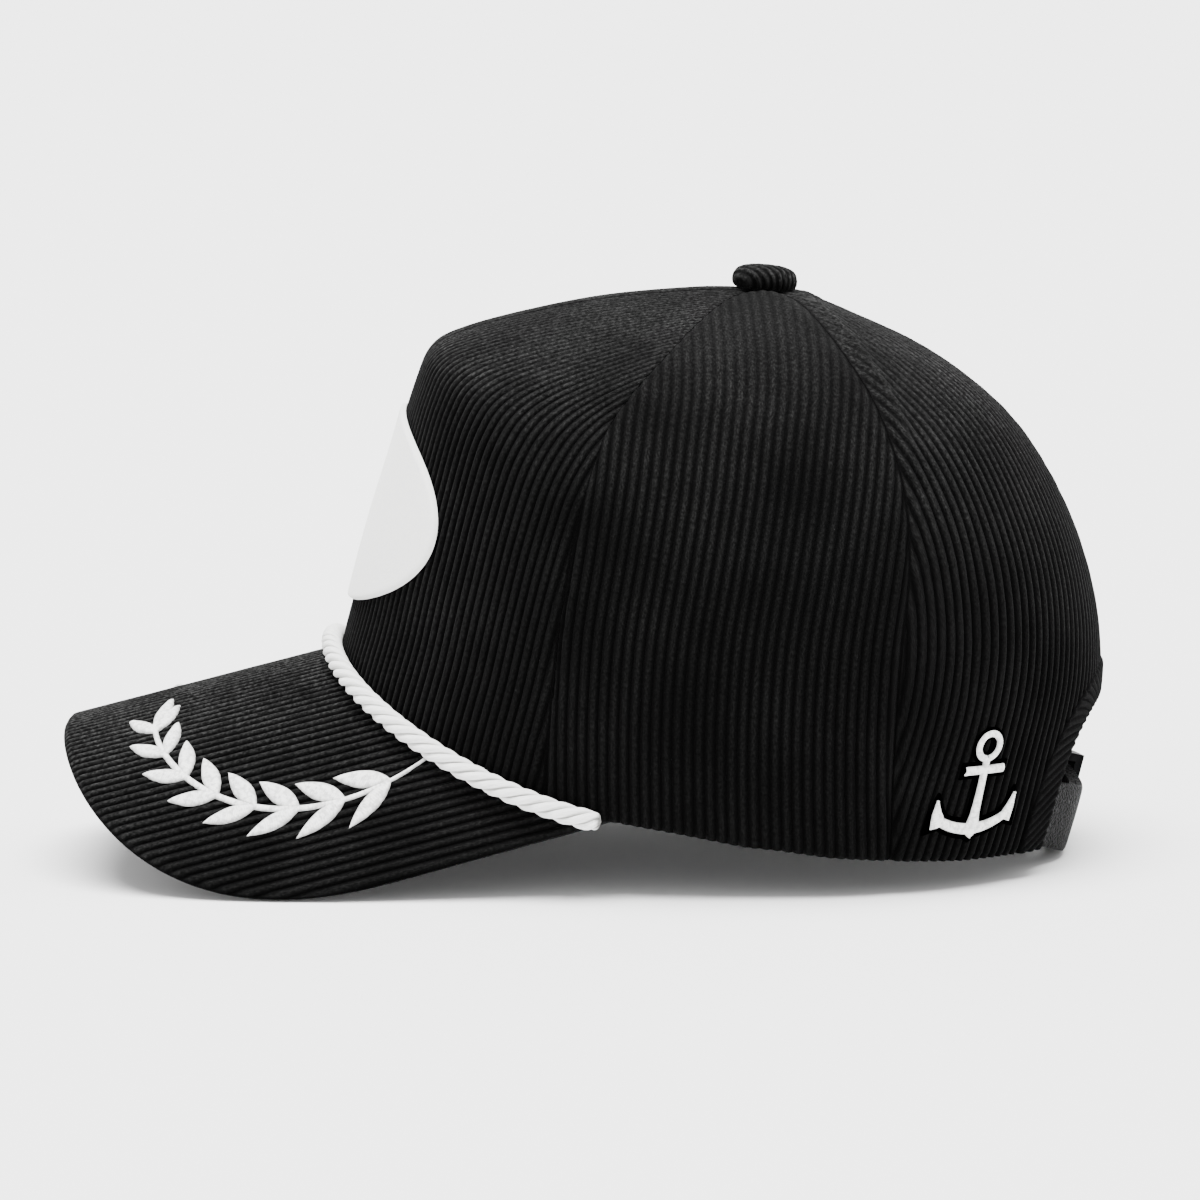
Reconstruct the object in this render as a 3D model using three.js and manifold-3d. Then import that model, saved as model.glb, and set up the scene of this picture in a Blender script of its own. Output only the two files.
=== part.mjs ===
// A corduroy cap: five crown panels, a curved peak, a twisted cord over the peak's seam, a covered
// button, an oval patch, embroidered branches and anchor, a sweatband and a strap with its clasp.
// Millimetres, +Z up, resting on z = 0, peak toward -Y, the wearer's left side toward +X.
import * as THREE from "three";
import Module from "manifold-3d";
import { mergeVertices } from "three/addons/utils/BufferGeometryUtils.js";

const wasm = await Module();
wasm.setup();

// Crown
const crownHeight = 153;
const crownFrontReach = 117.6;
const crownSideReach = 81.2;
const crownBackReach = 90;
const crownBackSquareness = 2.15;
const clothWall = 2;
const rimLift = 14;
const fitGap = 0.3;

// Peak
const peakReach = 75;
const peakSeamSetback = 3;
const peakArch = 87;
const peakSideClearance = 0.8;
const peakBend = 68.2;
const peakRise = 0.252;
const peakThickness = 3.2;
const peakSquareness = 2.3;
const peakCornerAngle = 70;

// Trim on the crown and the peak
const ropeDiameter = 5.6;
const buttonDiameter = 17.4;
const buttonHeight = 6.4;
const buttonStemDiameter = 4;
const patchWidth = 108;
const patchHeight = 54;
const patchMiddleShare = 0.628;
const patchThickness = 1.4;
const stitchThickness = 1.1;
const laurelRadius = 49.8;
const laurelLeafLength = 15.5;
const laurelLeafWidth = 5;
const laurelStemWidth = 1.5;
const anchorHeight = 28;
const anchorSpan = 26;
const anchorLean = 10;
const anchorAngle = 126;
const anchorMiddleShare = 0.18;

// Band, arch and strap at the back
const sweatbandHeight = 32;
const sweatbandThickness = 1.3;
const archWidth = 88;
const archHeight = 44;
const archSquareness = 3.4;
const strapWidth = 18.5;
const strapThickness = 1.6;
const strapOverlap = 64;
const claspWidth = 7;
const claspWall = 2.2;

const degrees = Math.PI / 180;
const buttonAxis = (crownFrontReach - peakSeamSetback + peakReach - crownBackReach) / 2;

// Sections of the crown from its lowest edge to the top: how far it reaches at the front, side and back, as
// shares of those reaches, how high it is there, as shares of its height, and how square its corners are.
const crownLevels = [
  { front: 1.0, frontUp: 0.222, side: 0.93, sideUp: -0.04, back: 0.894, backUp: 0.0, square: 2.6 },
  { front: 0.992, frontUp: 0.301, side: 0.961, sideUp: 0.065, back: 0.951, backUp: 0.118, square: 2.55 },
  { front: 0.971, frontUp: 0.379, side: 0.988, sideUp: 0.183, back: 0.982, backUp: 0.235, square: 2.4 },
  { front: 0.94, frontUp: 0.474, side: 1.0, sideUp: 0.307, back: 1.0, backUp: 0.346, square: 2.28 },
  { front: 0.896, frontUp: 0.595, side: 0.993, sideUp: 0.431, back: 0.98, backUp: 0.458, square: 2.3 },
  { front: 0.84, frontUp: 0.729, side: 0.956, sideUp: 0.562, back: 0.924, backUp: 0.575, square: 2.45 },
  { front: 0.794, frontUp: 0.843, side: 0.887, sideUp: 0.68, back: 0.833, backUp: 0.686, square: 2.65 },
  { front: 0.7585, frontUp: 0.899, side: 0.8, sideUp: 0.775, back: 0.728, backUp: 0.773, square: 2.7 },
  { front: 0.689, frontUp: 0.929, side: 0.696, sideUp: 0.847, back: 0.589, backUp: 0.845, square: 2.5 },
  { front: 0.553, frontUp: 0.959, side: 0.554, sideUp: 0.91, back: 0.444, backUp: 0.901, square: 2.3 },
  { front: 0.349, frontUp: 0.987, side: 0.369, sideUp: 0.959, back: 0.289, backUp: 0.943, square: 2.15 },
  { front: 0.153, frontUp: 1.0, side: 0.172, sideUp: 0.989, back: 0.133, backUp: 0.982, square: 2.05 },
  { front: 0.0, frontUp: 0.995, side: 0.0, sideUp: 0.995, back: 0.0, backUp: 0.995, square: 2.0 },
];

// Where the seams run in each section, as plan angles in degrees from the middle of the front.
const seamAngles = [
  { front: 60.5, back: 110 },
  { front: 60.5, back: 110 },
  { front: 60.2, back: 109.7 },
  { front: 59.8, back: 110 },
  { front: 59.5, back: 111.5 },
  { front: 60, back: 114.5 },
  { front: 61.5, back: 116.5 },
  { front: 63.5, back: 117 },
  { front: 66, back: 118 },
  { front: 68, back: 118 },
  { front: 67, back: 120 },
  { front: 64, back: 126 },
  { front: 62, back: 130 },
];

// The rim's height by plan angle, as a share of its lift at the side. The peak lifts it further.
const rimHeights = [
  { angle: 60, share: 1.62 },
  { angle: 70, share: 1.45 },
  { angle: 78, share: 1.24 },
  { angle: 86, share: 1.0 },
  { angle: 100, share: 0.76 },
  { angle: 112, share: 0.64 },
  { angle: 124, share: 0.55 },
  { angle: 140, share: 0.5 },
  { angle: 180, share: 0.47 },
];

const mix = THREE.MathUtils.lerp;
const smoothstep = THREE.MathUtils.smoothstep;

// A smooth value between the rows of a column, at a place counted in rows.
function columnAt(rows, column, place) {
  const last = rows.length - 1;
  const row = Math.min(Math.max(Math.floor(place), 0), last - 1);
  const value = (index) => rows[Math.min(Math.max(index, 0), last)][column];
  const slope = (index) => (value(index + 1) - value(index - 1)) / (index === 0 || index === last ? 1 : 2);
  const f = place - row;
  const square = f * f;
  const cube = square * f;
  return (
    (2 * cube - 3 * square + 1) * value(row) +
    (cube - 2 * square + f) * slope(row) +
    (3 * square - 2 * cube) * value(row + 1) +
    (cube - square) * slope(row + 1)
  );
}

// A value between the rows of a table that is read by angle.
function shareAtAngle(rows, angle) {
  let next = rows.findIndex((row) => row.angle >= angle);
  if (next < 1) next = next < 0 ? rows.length - 1 : 1;
  const before = rows[next - 1];
  const after = rows[next];
  const f = Math.min(Math.max((angle - before.angle) / (after.angle - before.angle), 0), 1);
  return mix(before.share, after.share, f);
}

// A point of the crown's outer face: level counts the sections, angle is in radians from the front.
function crownOuter(level, angle) {
  const at = (column) => columnAt(crownLevels, column, level);
  const ahead = Math.cos(angle) > 0;
  const power = ahead ? at("square") : crownBackSquareness;
  const across = Math.abs(Math.sin(angle));
  const along = Math.abs(Math.cos(angle));
  const size = (across ** power + along ** power) ** (-1 / power);
  const sideShare = (size * across) ** power;
  const reach = ahead ? -crownFrontReach * at("front") : crownBackReach * at("back");
  const endUp = ahead ? at("frontUp") : at("backUp");
  return new THREE.Vector3(
    crownSideReach * at("side") * size * Math.sin(angle),
    buttonAxis + reach * size * along,
    crownHeight * mix(endUp, at("sideUp"), sideShare),
  );
}

// The same point moved inward by a depth, square to the face.
function crownPoint(level, angle, depth) {
  const step = 0.004;
  const point = crownOuter(level, angle);
  const up = crownOuter(level + step, angle).sub(crownOuter(level - step, angle));
  const round = crownOuter(level, angle + step).sub(crownOuter(level, angle - step));
  const normal = round.cross(up).normalize();
  return point.addScaledVector(normal, -depth);
}

// The level at which a face of the crown, followed at one angle, reaches a height that may depend on place.
function levelWhere(angleAt, depth, heightAt) {
  let low = 0.02;
  let high = 8;
  for (let pass = 0; pass < 22; pass += 1) {
    const middle = (low + high) / 2;
    const point = crownPoint(middle, angleAt(middle), depth);
    if (point.z < heightAt(point)) low = middle;
    else high = middle;
  }
  return (low + high) / 2;
}

// The peak is a cloth-covered board bent round a sloping elliptical cylinder.
const peakHalfSpan = crownSideReach + peakSideClearance;
const crownFrontY = buttonAxis - crownFrontReach + peakSeamSetback;
const peakWidestY = crownFrontY + 0.2 * peakReach;
const peakNoseY = crownFrontY - peakReach;

function peakCrest(y) {
  return peakRise * (y - peakNoseY);
}

function peakRawPoint(bend, y, depth) {
  const normal = new THREE.Vector3(
    Math.sin(bend) * (peakArch / peakHalfSpan),
    -peakRise * Math.cos(bend),
    Math.cos(bend),
  ).normalize();
  const surface = new THREE.Vector3(
    peakHalfSpan * Math.sin(bend),
    y,
    peakCrest(y) - peakArch * (1 - Math.cos(bend)),
  );
  return surface.addScaledVector(normal, -depth);
}

// The peak's free edge, from the middle of its nose to its widest place, which lies at noseShare.
const noseShare = 0.72;
function peakEdge(share) {
  const turn = Math.min(share / noseShare, 1) * (Math.PI / 2);
  const size = (Math.sin(turn) ** peakSquareness + Math.cos(turn) ** peakSquareness) ** (-1 / peakSquareness);
  const bend = peakBend * degrees * size * Math.sin(turn);
  const y = peakWidestY - (peakWidestY - peakNoseY) * size * Math.cos(turn);
  return { bend, y };
}

const edgeSteps = [...Array(41).keys()].map((index) => index / 40);
const peakLowest = Math.min(
  ...edgeSteps.map((share) => {
    const edge = peakEdge(share);
    return peakRawPoint(edge.bend, edge.y, peakThickness).z;
  }),
);

function peakPoint(bend, y, depth) {
  const point = peakRawPoint(bend, y, depth);
  point.z -= peakLowest;
  return point;
}

// The height of the peak's top face over a place, with a clearance square to the face.
function peakTopAt(x, y, clearance) {
  const share = Math.min(Math.abs(x) / peakHalfSpan, 0.97);
  const drop = peakArch * (1 - Math.sqrt(1 - share * share));
  const sideSlope = ((peakArch / peakHalfSpan) * share) / Math.sqrt(1 - share * share);
  return peakCrest(y) - peakLowest - drop + clearance * Math.hypot(1, sideSlope, peakRise);
}

// The crown's rim stands on the peak at the front and runs free round the sides and the back.
function rimHeightAt(angle, point) {
  const turned = Math.abs(angle) / degrees;
  const free = rimLift * shareAtAngle(rimHeights, turned);
  const onPeak = peakTopAt(point.x, point.y, fitGap);
  return mix(Math.max(onPeak, free), free, smoothstep(turned, peakCornerAngle + 0.5, peakCornerAngle + 6));
}

const frontSeam = (level) => columnAt(seamAngles, "front", level) * degrees;
const backSeam = (level) => columnAt(seamAngles, "back", level) * degrees;
const topLevel = 11.72;

// Closes a three.js geometry into one indexed solid: shared corners merged, empty triangles dropped.
function closed(geometry) {
  const bare = geometry.clone();
  bare.deleteAttribute("normal");
  bare.deleteAttribute("uv");
  const merged = mergeVertices(bare, 1e-4);
  const source = merged.index.array;
  const kept = [];
  for (let i = 0; i < source.length; i += 3) {
    const [a, b, c] = [source[i], source[i + 1], source[i + 2]];
    if (a !== b && b !== c && c !== a) kept.push(a, b, c);
  }
  merged.setIndex(kept);
  return merged;
}

// Turns a geometry the right way out, judged by its volume.
function facingOut(geometry) {
  const position = geometry.getAttribute("position");
  const index = geometry.index.array;
  const [a, b, c] = [new THREE.Vector3(), new THREE.Vector3(), new THREE.Vector3()];
  let volume = 0;
  for (let i = 0; i < index.length; i += 3) {
    a.fromBufferAttribute(position, index[i]);
    b.fromBufferAttribute(position, index[i + 1]);
    c.fromBufferAttribute(position, index[i + 2]);
    volume += a.dot(b.cross(c));
  }
  if (volume < 0) {
    for (let i = 0; i < index.length; i += 3) [index[i], index[i + 1]] = [index[i + 1], index[i]];
  }
  return geometry;
}

// Moves each corner of a geometry to the place that a function gives for it.
function reshaped(geometry, place) {
  const solid = closed(geometry);
  const position = solid.getAttribute("position");
  const corner = new THREE.Vector3();
  for (let i = 0; i < position.count; i += 1) {
    corner.fromBufferAttribute(position, i);
    const moved = place(corner.x, corner.y, corner.z);
    position.setXYZ(i, moved.x, moved.y, moved.z);
  }
  return facingOut(solid);
}

// A sheet of even thickness: place(across, along, depth) gives each corner, across and along from 0 to 1.
function sheet(columns, rows, thickness, place) {
  const block = new THREE.BoxGeometry(1, 1, 1, columns, rows, 1);
  return reshaped(block, (x, y, z) => place(x + 0.5, y + 0.5, (0.5 - z) * thickness));
}

function toSolid(geometry) {
  const solid = closed(geometry);
  const vertProperties = new Float32Array(solid.getAttribute("position").array);
  const triVerts = new Uint32Array(solid.index.array);
  return new wasm.Manifold(new wasm.Mesh({ numProp: 3, vertProperties, triVerts }));
}

function fromSolid(solid) {
  const mesh = solid.getMesh();
  const geometry = new THREE.BufferGeometry();
  geometry.setAttribute("position", new THREE.BufferAttribute(new Float32Array(mesh.vertProperties), 3));
  geometry.setIndex([...mesh.triVerts]);
  return geometry;
}

const joined = (pieces) => fromSolid(pieces.map(toSolid).reduce((all, piece) => all.add(piece)));
const cutBy = (geometry, cutter) => fromSolid(toSolid(geometry).subtract(toSolid(cutter)));

// A crown panel between two seams, which are functions of the level, with half a gap at each seam.
function crownPanel(fromSeam, toSeam, columns, rows) {
  const inset = (level, seam, side) => {
    const angle = seam(level);
    const step = 0.01;
    const width = crownOuter(level, angle + step).distanceTo(crownOuter(level, angle - step)) / (2 * step);
    return angle + (side * fitGap) / (2 * Math.max(width, 1));
  };
  return sheet(columns, rows, clothWall, (across, along, depth) => {
    const angleAt = (level) => mix(inset(level, fromSeam, 1), inset(level, toSeam, -1), across);
    const bottom = levelWhere(angleAt, depth, (point) => rimHeightAt(angleAt(2), point));
    const level = mix(bottom, topLevel, along);
    return crownPoint(level, angleAt(level), depth);
  });
}

// The opening over the strap, as a solid that is cut out of both back panels.
function archCutter() {
  const outline = new THREE.Shape();
  const sides = 24;
  const foot = -crownHeight / 10;
  outline.moveTo(archWidth / 2, foot);
  for (let side = 0; side <= sides; side += 1) {
    const turn = (side / sides) * Math.PI;
    const across = Math.abs(Math.cos(turn)) ** (2 / archSquareness) * Math.sign(Math.cos(turn));
    const up = Math.sin(turn) ** (2 / archSquareness);
    outline.lineTo((archWidth / 2) * across, archHeight * up);
  }
  outline.lineTo(-archWidth / 2, foot);
  const cutter = new THREE.ExtrudeGeometry(outline, { depth: crownBackReach, bevelEnabled: false });
  cutter.rotateX(Math.PI / 2);
  cutter.translate(0, buttonAxis + 1.5 * crownBackReach, 0);
  return facingOut(closed(cutter));
}

function peakBoard() {
  const cornerAngle = (peakCornerAngle - 0.5) * degrees;
  const cornerLevel = levelWhere(() => cornerAngle, clothWall, (point) => peakTopAt(point.x, point.y, 0));
  const corner = crownPoint(cornerLevel, cornerAngle, clothWall);
  const cornerBend = Math.asin(Math.min(corner.x / peakHalfSpan, 0.97));
  return sheet(30, 6, peakThickness, (across, along, depth) => {
    const side = 2 * across - 1;
    const angle = side * cornerAngle;
    const seat = levelWhere(() => angle, clothWall, (point) => peakTopAt(point.x, point.y, 0));
    const inner = crownPoint(seat, angle, clothWall);
    const innerBend = Math.asin(THREE.MathUtils.clamp(inner.x / peakHalfSpan, -0.97, 0.97));
    const edge = peakEdge(Math.abs(side));
    const past = Math.max(0, (Math.abs(side) - noseShare) / (1 - noseShare));
    const bend = mix(edge.bend, mix(cornerBend, peakBend * degrees, 0.6), past) * Math.sign(side);
    return peakPoint(mix(innerBend, bend, along), mix(inner.y, mix(edge.y, corner.y, past), along), depth);
  });
}

// The cord lies in the crease of crown and peak, a gap clear of both.
function ropeAlongSeam() {
  const radius = ropeDiameter / 2;
  const stops = 29;
  const reach = peakCornerAngle * degrees * 0.975;
  const path = [];
  for (let stop = 0; stop < stops; stop += 1) {
    const angle = mix(-reach, reach, stop / (stops - 1));
    const level = levelWhere(() => angle, 0, (point) => rimHeightAt(angle, point));
    const seam = crownPoint(level, angle, 0);
    const wallNormal = seam.clone().sub(crownPoint(level, angle, 1));
    const bend = Math.asin(THREE.MathUtils.clamp(seam.x / peakHalfSpan, -0.97, 0.97));
    const topNormal = peakPoint(bend, seam.y, 0).sub(peakPoint(bend, seam.y, 1));
    const halfway = wallNormal.clone().add(topNormal).normalize();
    const spread = (radius + fitGap) / halfway.dot(wallNormal);
    path.push(seam.addScaledVector(halfway, spread));
  }
  const section = new THREE.Shape().absarc(0, 0, radius, 0, 2 * Math.PI);
  const extrudePath = new THREE.CatmullRomCurve3(path);
  return closed(new THREE.ExtrudeGeometry(section, { steps: 48, curveSegments: 4, extrudePath }));
}

function coveredButton() {
  const radius = buttonDiameter / 2;
  const stem = buttonStemDiameter / 2;
  const stemLength = clothWall + 2 * fitGap + 1;
  const dome = [
    { out: 0, up: 1 },
    { out: 0.45, up: 0.97 },
    { out: 0.75, up: 0.86 },
    { out: 0.93, up: 0.64 },
    { out: 1, up: 0.36 },
    { out: 0.96, up: 0.1 },
    { out: 0.86, up: 0 },
  ];
  const profile = dome.map((row) => new THREE.Vector2(radius * row.out, buttonHeight * row.up)).reverse();
  profile.unshift(new THREE.Vector2(stem, -stemLength), new THREE.Vector2(stem, 0));
  profile.unshift(new THREE.Vector2(0, -stemLength));
  const button = new THREE.LatheGeometry(profile, 24);
  button.rotateX(Math.PI / 2);
  const ahead = crownOuter(11.3, 0);
  const behind = crownOuter(11.3, Math.PI);
  button.rotateX(-Math.atan2(ahead.z - behind.z, behind.y - ahead.y));
  const seat = mix(ahead.z, behind.z, (buttonAxis - ahead.y) / (behind.y - ahead.y));
  button.translate(0, buttonAxis, seat + 2 * fitGap);
  return facingOut(closed(button));
}

// A place on the crown at a height, so far round from a starting angle, and lifted off the face.
function crownSpot(startAngle, distance, height, lift) {
  const steps = 14;
  const levelAt = (angle) => levelWhere(() => angle, 0, () => height);
  let angle = startAngle;
  let here = crownOuter(levelAt(angle), angle);
  const turn = Math.sign(distance) * 0.004;
  for (let step = 0; step < steps; step += 1) {
    const ahead = crownOuter(levelAt(angle + turn), angle + turn);
    angle += (turn * Math.abs(distance)) / (steps * here.distanceTo(ahead) || 1);
    here = crownOuter(levelAt(angle), angle);
  }
  return crownPoint(levelAt(angle), angle, -lift);
}

function ovalPatch() {
  const rings = [0, 0.2, 0.4, 0.58, 0.74, 0.88, 1];
  const profile = [
    ...rings.map((ring) => new THREE.Vector2(ring, 0)),
    ...rings.map((ring) => new THREE.Vector2(ring, 1)).reverse(),
  ];
  const disc = new THREE.LatheGeometry(profile, 28);
  const middle = crownHeight * patchMiddleShare;
  const below = crownOuter(4, 0);
  const above = crownOuter(5, 0);
  const lean = Math.atan2(above.y - below.y, above.z - below.z);
  const coneReach = crownSideReach / Math.sin(lean);
  return reshaped(disc, (x, y, z) => {
    const across = (x * patchWidth) / 2;
    const up = (z * patchHeight * Math.cos(lean)) / 2 - across ** 2 / (2 * coneReach);
    return crownSpot(0, across, middle + up, 2 * fitGap + y * patchThickness);
  });
}

// A place on the peak's top: round counts along the cloth from the middle of the peak.
function peakSpot(round, y, lift) {
  return peakPoint(round / peakHalfSpan, y, -lift);
}

// A leaf as a lens between two tips, laid on a surface by place(x, y, lift).
function leaf(from, to, width, place) {
  const columns = 3;
  const along = new THREE.Vector2().subVectors(to, from);
  const side = new THREE.Vector2(-along.y, along.x).normalize();
  const block = new THREE.BoxGeometry(1, 1, 1, columns, 1, 1);
  return reshaped(block, (x, y, z) => {
    const share = mix(0.04, 0.96, x + 0.5);
    const swell = Math.sin(Math.PI * share ** 0.9) ** 0.8;
    const spot = from.clone().addScaledVector(along, share).addScaledVector(side, y * width * swell);
    return place(spot.x, spot.y, fitGap + (z + 0.5) * stitchThickness);
  });
}

// A stitched bar along a list of plan points.
function bar(points, width, place) {
  const curve = new THREE.CatmullRomCurve3(points.map((point) => new THREE.Vector3(point.x, point.y, 0)));
  const columns = Math.max(3, points.length);
  const block = new THREE.BoxGeometry(1, 1, 1, columns, 1, 1);
  return reshaped(block, (x, y, z) => {
    const centre = curve.getPointAt(x + 0.5);
    const tangent = curve.getTangentAt(x + 0.5);
    const out = y * width;
    const lift = fitGap + (z + 0.5) * stitchThickness;
    return place(centre.x - tangent.y * out, centre.y + tangent.x * out, lift);
  });
}

// A branch on the peak: a stem on an arc, leaves in pairs, and one leaf at its tip.
function laurel() {
  const centre = new THREE.Vector2(0.284 * peakHalfSpan, crownFrontY + 0.012 * peakReach);
  const onArc = (radius, angle) =>
    new THREE.Vector2(
      centre.x + radius * Math.cos(angle * degrees),
      centre.y + radius * Math.sin(angle * degrees),
    );
  const stemAngles = [24, 12, 0, -12, -24, -36, -48, -60, -72, -85];
  const pieces = [bar(stemAngles.map((angle) => onArc(laurelRadius, angle)), laurelStemWidth, peakSpot)];
  const pairs = 8;
  const outerTurn = (laurelLeafLength / laurelRadius / degrees) * 0.75;
  for (let pair = 0; pair < pairs; pair += 1) {
    const joint = mix(17, -80, pair / (pairs - 1));
    const size = mix(1, 0.86, pair / (pairs - 1));
    const start = onArc(laurelRadius, joint);
    const spread = 0.53 * laurelLeafLength * size;
    const width = laurelLeafWidth * size;
    pieces.push(leaf(start, onArc(laurelRadius + spread, joint - outerTurn * size), width, peakSpot));
    const innerTip = onArc(laurelRadius - 0.88 * spread, joint - outerTurn * 1.35 * size);
    pieces.push(leaf(start, innerTip, width, peakSpot));
  }
  const tip = onArc(laurelRadius * 0.94, -103);
  pieces.push(leaf(onArc(laurelRadius, -84), tip, laurelLeafWidth * 0.8, peakSpot));
  return joined(pieces);
}

// The anchor in its own plane, x to the back and y up, in shares of its span and height.
function anchor() {
  const middleAngle = anchorAngle * degrees;
  const middleHeight = crownHeight * anchorMiddleShare;
  const place = (x, y, lift) =>
    crownSpot(middleAngle, x + y * Math.tan(anchorLean * degrees), middleHeight + y, lift);
  const at = (x, y) => new THREE.Vector2(x * anchorSpan, y * anchorHeight);
  const stroke = anchorSpan * 0.1;
  const ringRadius = anchorSpan * 0.11;
  const ringMiddle = at(0, 0.375);
  const ring = [];
  for (let stop = 0; stop <= 10; stop += 1) {
    const turn = mix(-80, 260, stop / 10) * degrees;
    const spoke = new THREE.Vector2(Math.cos(turn), Math.sin(turn)).multiplyScalar(ringRadius);
    ring.push(ringMiddle.clone().add(spoke));
  }
  const arms = [at(-0.45, -0.16), at(-0.33, -0.32), at(0, -0.41), at(0.33, -0.32), at(0.45, -0.16)];
  return joined([
    bar(ring, stroke * 0.75, place),
    bar([at(0, 0.28), at(0, -0.06), at(0, -0.43)], stroke, place),
    bar([at(-0.22, 0.157), at(0, 0.157), at(0.22, 0.157)], stroke * 0.85, place),
    bar(arms, stroke * 1.1, place),
    leaf(at(-0.5, -0.1), at(-0.32, -0.36), stroke * 2, place),
    leaf(at(0.5, -0.1), at(0.32, -0.36), stroke * 2, place),
    leaf(at(0, -0.34), at(0, -0.5), stroke * 1.7, place),
  ]);
}

// The angles at which the arch's two sides meet the rim.
function archAngle(halfWidth) {
  let low = Math.PI / 2;
  let high = Math.PI;
  for (let pass = 0; pass < 24; pass += 1) {
    const middle = (low + high) / 2;
    if (crownOuter(1.2, middle).x > halfWidth) low = middle;
    else high = middle;
  }
  return low;
}

function headBand() {
  const end = archAngle(archWidth / 2 + strapWidth);
  const top = clothWall + fitGap;
  return sheet(36, 2, sweatbandThickness, (across, along, depth) => {
    const angle = mix(-end, end, across);
    const seat = levelWhere(() => angle, clothWall, (point) => rimHeightAt(angle, point));
    const foot = crownPoint(seat, angle, clothWall).z + fitGap;
    const level = levelWhere(() => angle, top, () => foot + along * sweatbandHeight);
    return crownPoint(level, angle, top + depth);
  });
}

// The height of the strap's lower edge: level with the rim at its sewn ends, lowest in the middle.
function strapFoot(angle) {
  const sewn = archAngle(archWidth / 2);
  const share = THREE.MathUtils.clamp((Math.abs(angle) - sewn) / (Math.PI - sewn), 0, 1);
  return mix(rimLift * 0.5, fitGap, Math.sin((share * Math.PI) / 2));
}

// How deep the strap lies: inside the crown at its sewn ends, flush with the crown in the middle.
function strapDepth(angle) {
  const open = archAngle(archWidth / 2 - strapWidth / 3);
  return mix(clothWall + 2 * fitGap, 0, smoothstep(Math.abs(angle), open, mix(open, Math.PI, 0.55)));
}

// A point of the strap: turned is the angle from the front, along runs up its width from 0 to 1.
function strapPoint(turned, along, depth) {
  const height = strapFoot(turned) + along * strapWidth * 0.965;
  const level = levelWhere(() => turned, 0, () => height);
  return crownPoint(level, turned, strapDepth(turned) + depth);
}

// One end of the strap: sewn inside the crown at one side, and past the middle at the other.
function strapEnd(side, layer) {
  const sewn = archAngle(archWidth / 2 + 0.72 * strapWidth);
  const free = 2 * Math.PI - archAngle(strapOverlap / 2);
  return sheet(20, 2, strapThickness, (across, along, depth) => {
    const angle = mix(sewn, free, across);
    const under = layer * (strapThickness + fitGap);
    const point = strapPoint(Math.min(angle, 2 * Math.PI - angle), along, depth + under);
    point.x *= angle > Math.PI ? -side : side;
    return point;
  });
}

// The fastening on the far side of the strap: a loop round both of its layers, with a flat foot.
function strapClasp() {
  const angle = archAngle(0.34 * strapOverlap);
  const middleDepth = strapThickness + fitGap / 2;
  const low = strapPoint(angle, 0, middleDepth);
  const high = strapPoint(angle, 1, middleDepth);
  const up = high.clone().sub(low).normalize();
  const beside = strapPoint(angle + 0.02, 0.5, middleDepth).sub(strapPoint(angle - 0.02, 0.5, middleDepth));
  const out = beside.cross(up).normalize();
  const halfWide = strapThickness + 5 * fitGap;
  const halfHigh = high.distanceTo(low) / 2 + 2 * fitGap;
  const rectangle = (path, wide, tall) =>
    path.moveTo(-wide, -tall).lineTo(wide, -tall).lineTo(wide, tall).lineTo(-wide, tall);
  const outline = rectangle(new THREE.Shape(), halfWide + claspWall, halfHigh + claspWall);
  outline.holes.push(rectangle(new THREE.Path(), halfWide, halfHigh));
  const loop = new THREE.ExtrudeGeometry(outline, { depth: claspWidth, bevelEnabled: false });
  loop.translate(0, 0, -claspWidth / 2);
  const turn = new THREE.Matrix4().makeBasis(out, up, out.clone().cross(up));
  turn.setPosition(low.add(high).multiplyScalar(0.5));
  loop.applyMatrix4(turn);
  loop.scale(-1, 1, 1);
  const floor = new THREE.BoxGeometry(crownHeight, 2 * crownBackReach, claspWidth);
  floor.translate(0, crownBackReach, -claspWidth / 2);
  return cutBy(facingOut(closed(loop)), closed(floor));
}

const group = new THREE.Group();

function addMesh(name, geometry, color, roughness, metalness) {
  const mesh = new THREE.Mesh(geometry, new THREE.MeshStandardMaterial({ color, roughness, metalness }));
  mesh.name = name;
  group.add(mesh);
  return mesh;
}

const corduroy = [0x151517, 0.95, 0];
const whiteThread = [0xf2f1ec, 0.8, 0];
const leather = [0x2b2b2d, 0.6, 0];

const arch = archCutter();
const backMiddle = () => Math.PI;
const mirrored = (seam) => (level) => -seam(level);

addMesh("front_panel", crownPanel(mirrored(frontSeam), frontSeam, 20, 16), ...corduroy);
addMesh("side_panel_left", crownPanel(frontSeam, backSeam, 11, 15), ...corduroy);
addMesh("side_panel_right", crownPanel(mirrored(backSeam), mirrored(frontSeam), 11, 15), ...corduroy);
addMesh("back_panel_left", cutBy(crownPanel(backSeam, backMiddle, 10, 15), arch), ...corduroy);
addMesh("back_panel_right", cutBy(crownPanel(() => -Math.PI, mirrored(backSeam), 10, 15), arch), ...corduroy);
addMesh("peak", peakBoard(), ...corduroy);
addMesh("rope", ropeAlongSeam(), ...whiteThread);
addMesh("button", coveredButton(), ...corduroy);
addMesh("front_patch", ovalPatch(), 0xefeeea, 0.85, 0);
addMesh("laurel_left", laurel(), ...whiteThread);
addMesh("laurel_right", facingOut(laurel().scale(-1, 1, 1)), ...whiteThread);
addMesh("anchor", anchor(), ...whiteThread);
addMesh("sweatband", headBand(), 0x1a1a1c, 0.9, 0);
addMesh("strap_left", strapEnd(1, 0), ...leather);
addMesh("strap_right", strapEnd(-1, 1), ...leather);
addMesh("clasp", strapClasp(), 0x3a3a3c, 0.5, 0);

export default group;
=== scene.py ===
from math import atan2, cos, pi, radians, sin

import bpy
import numpy as np
from mathutils import Matrix


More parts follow.
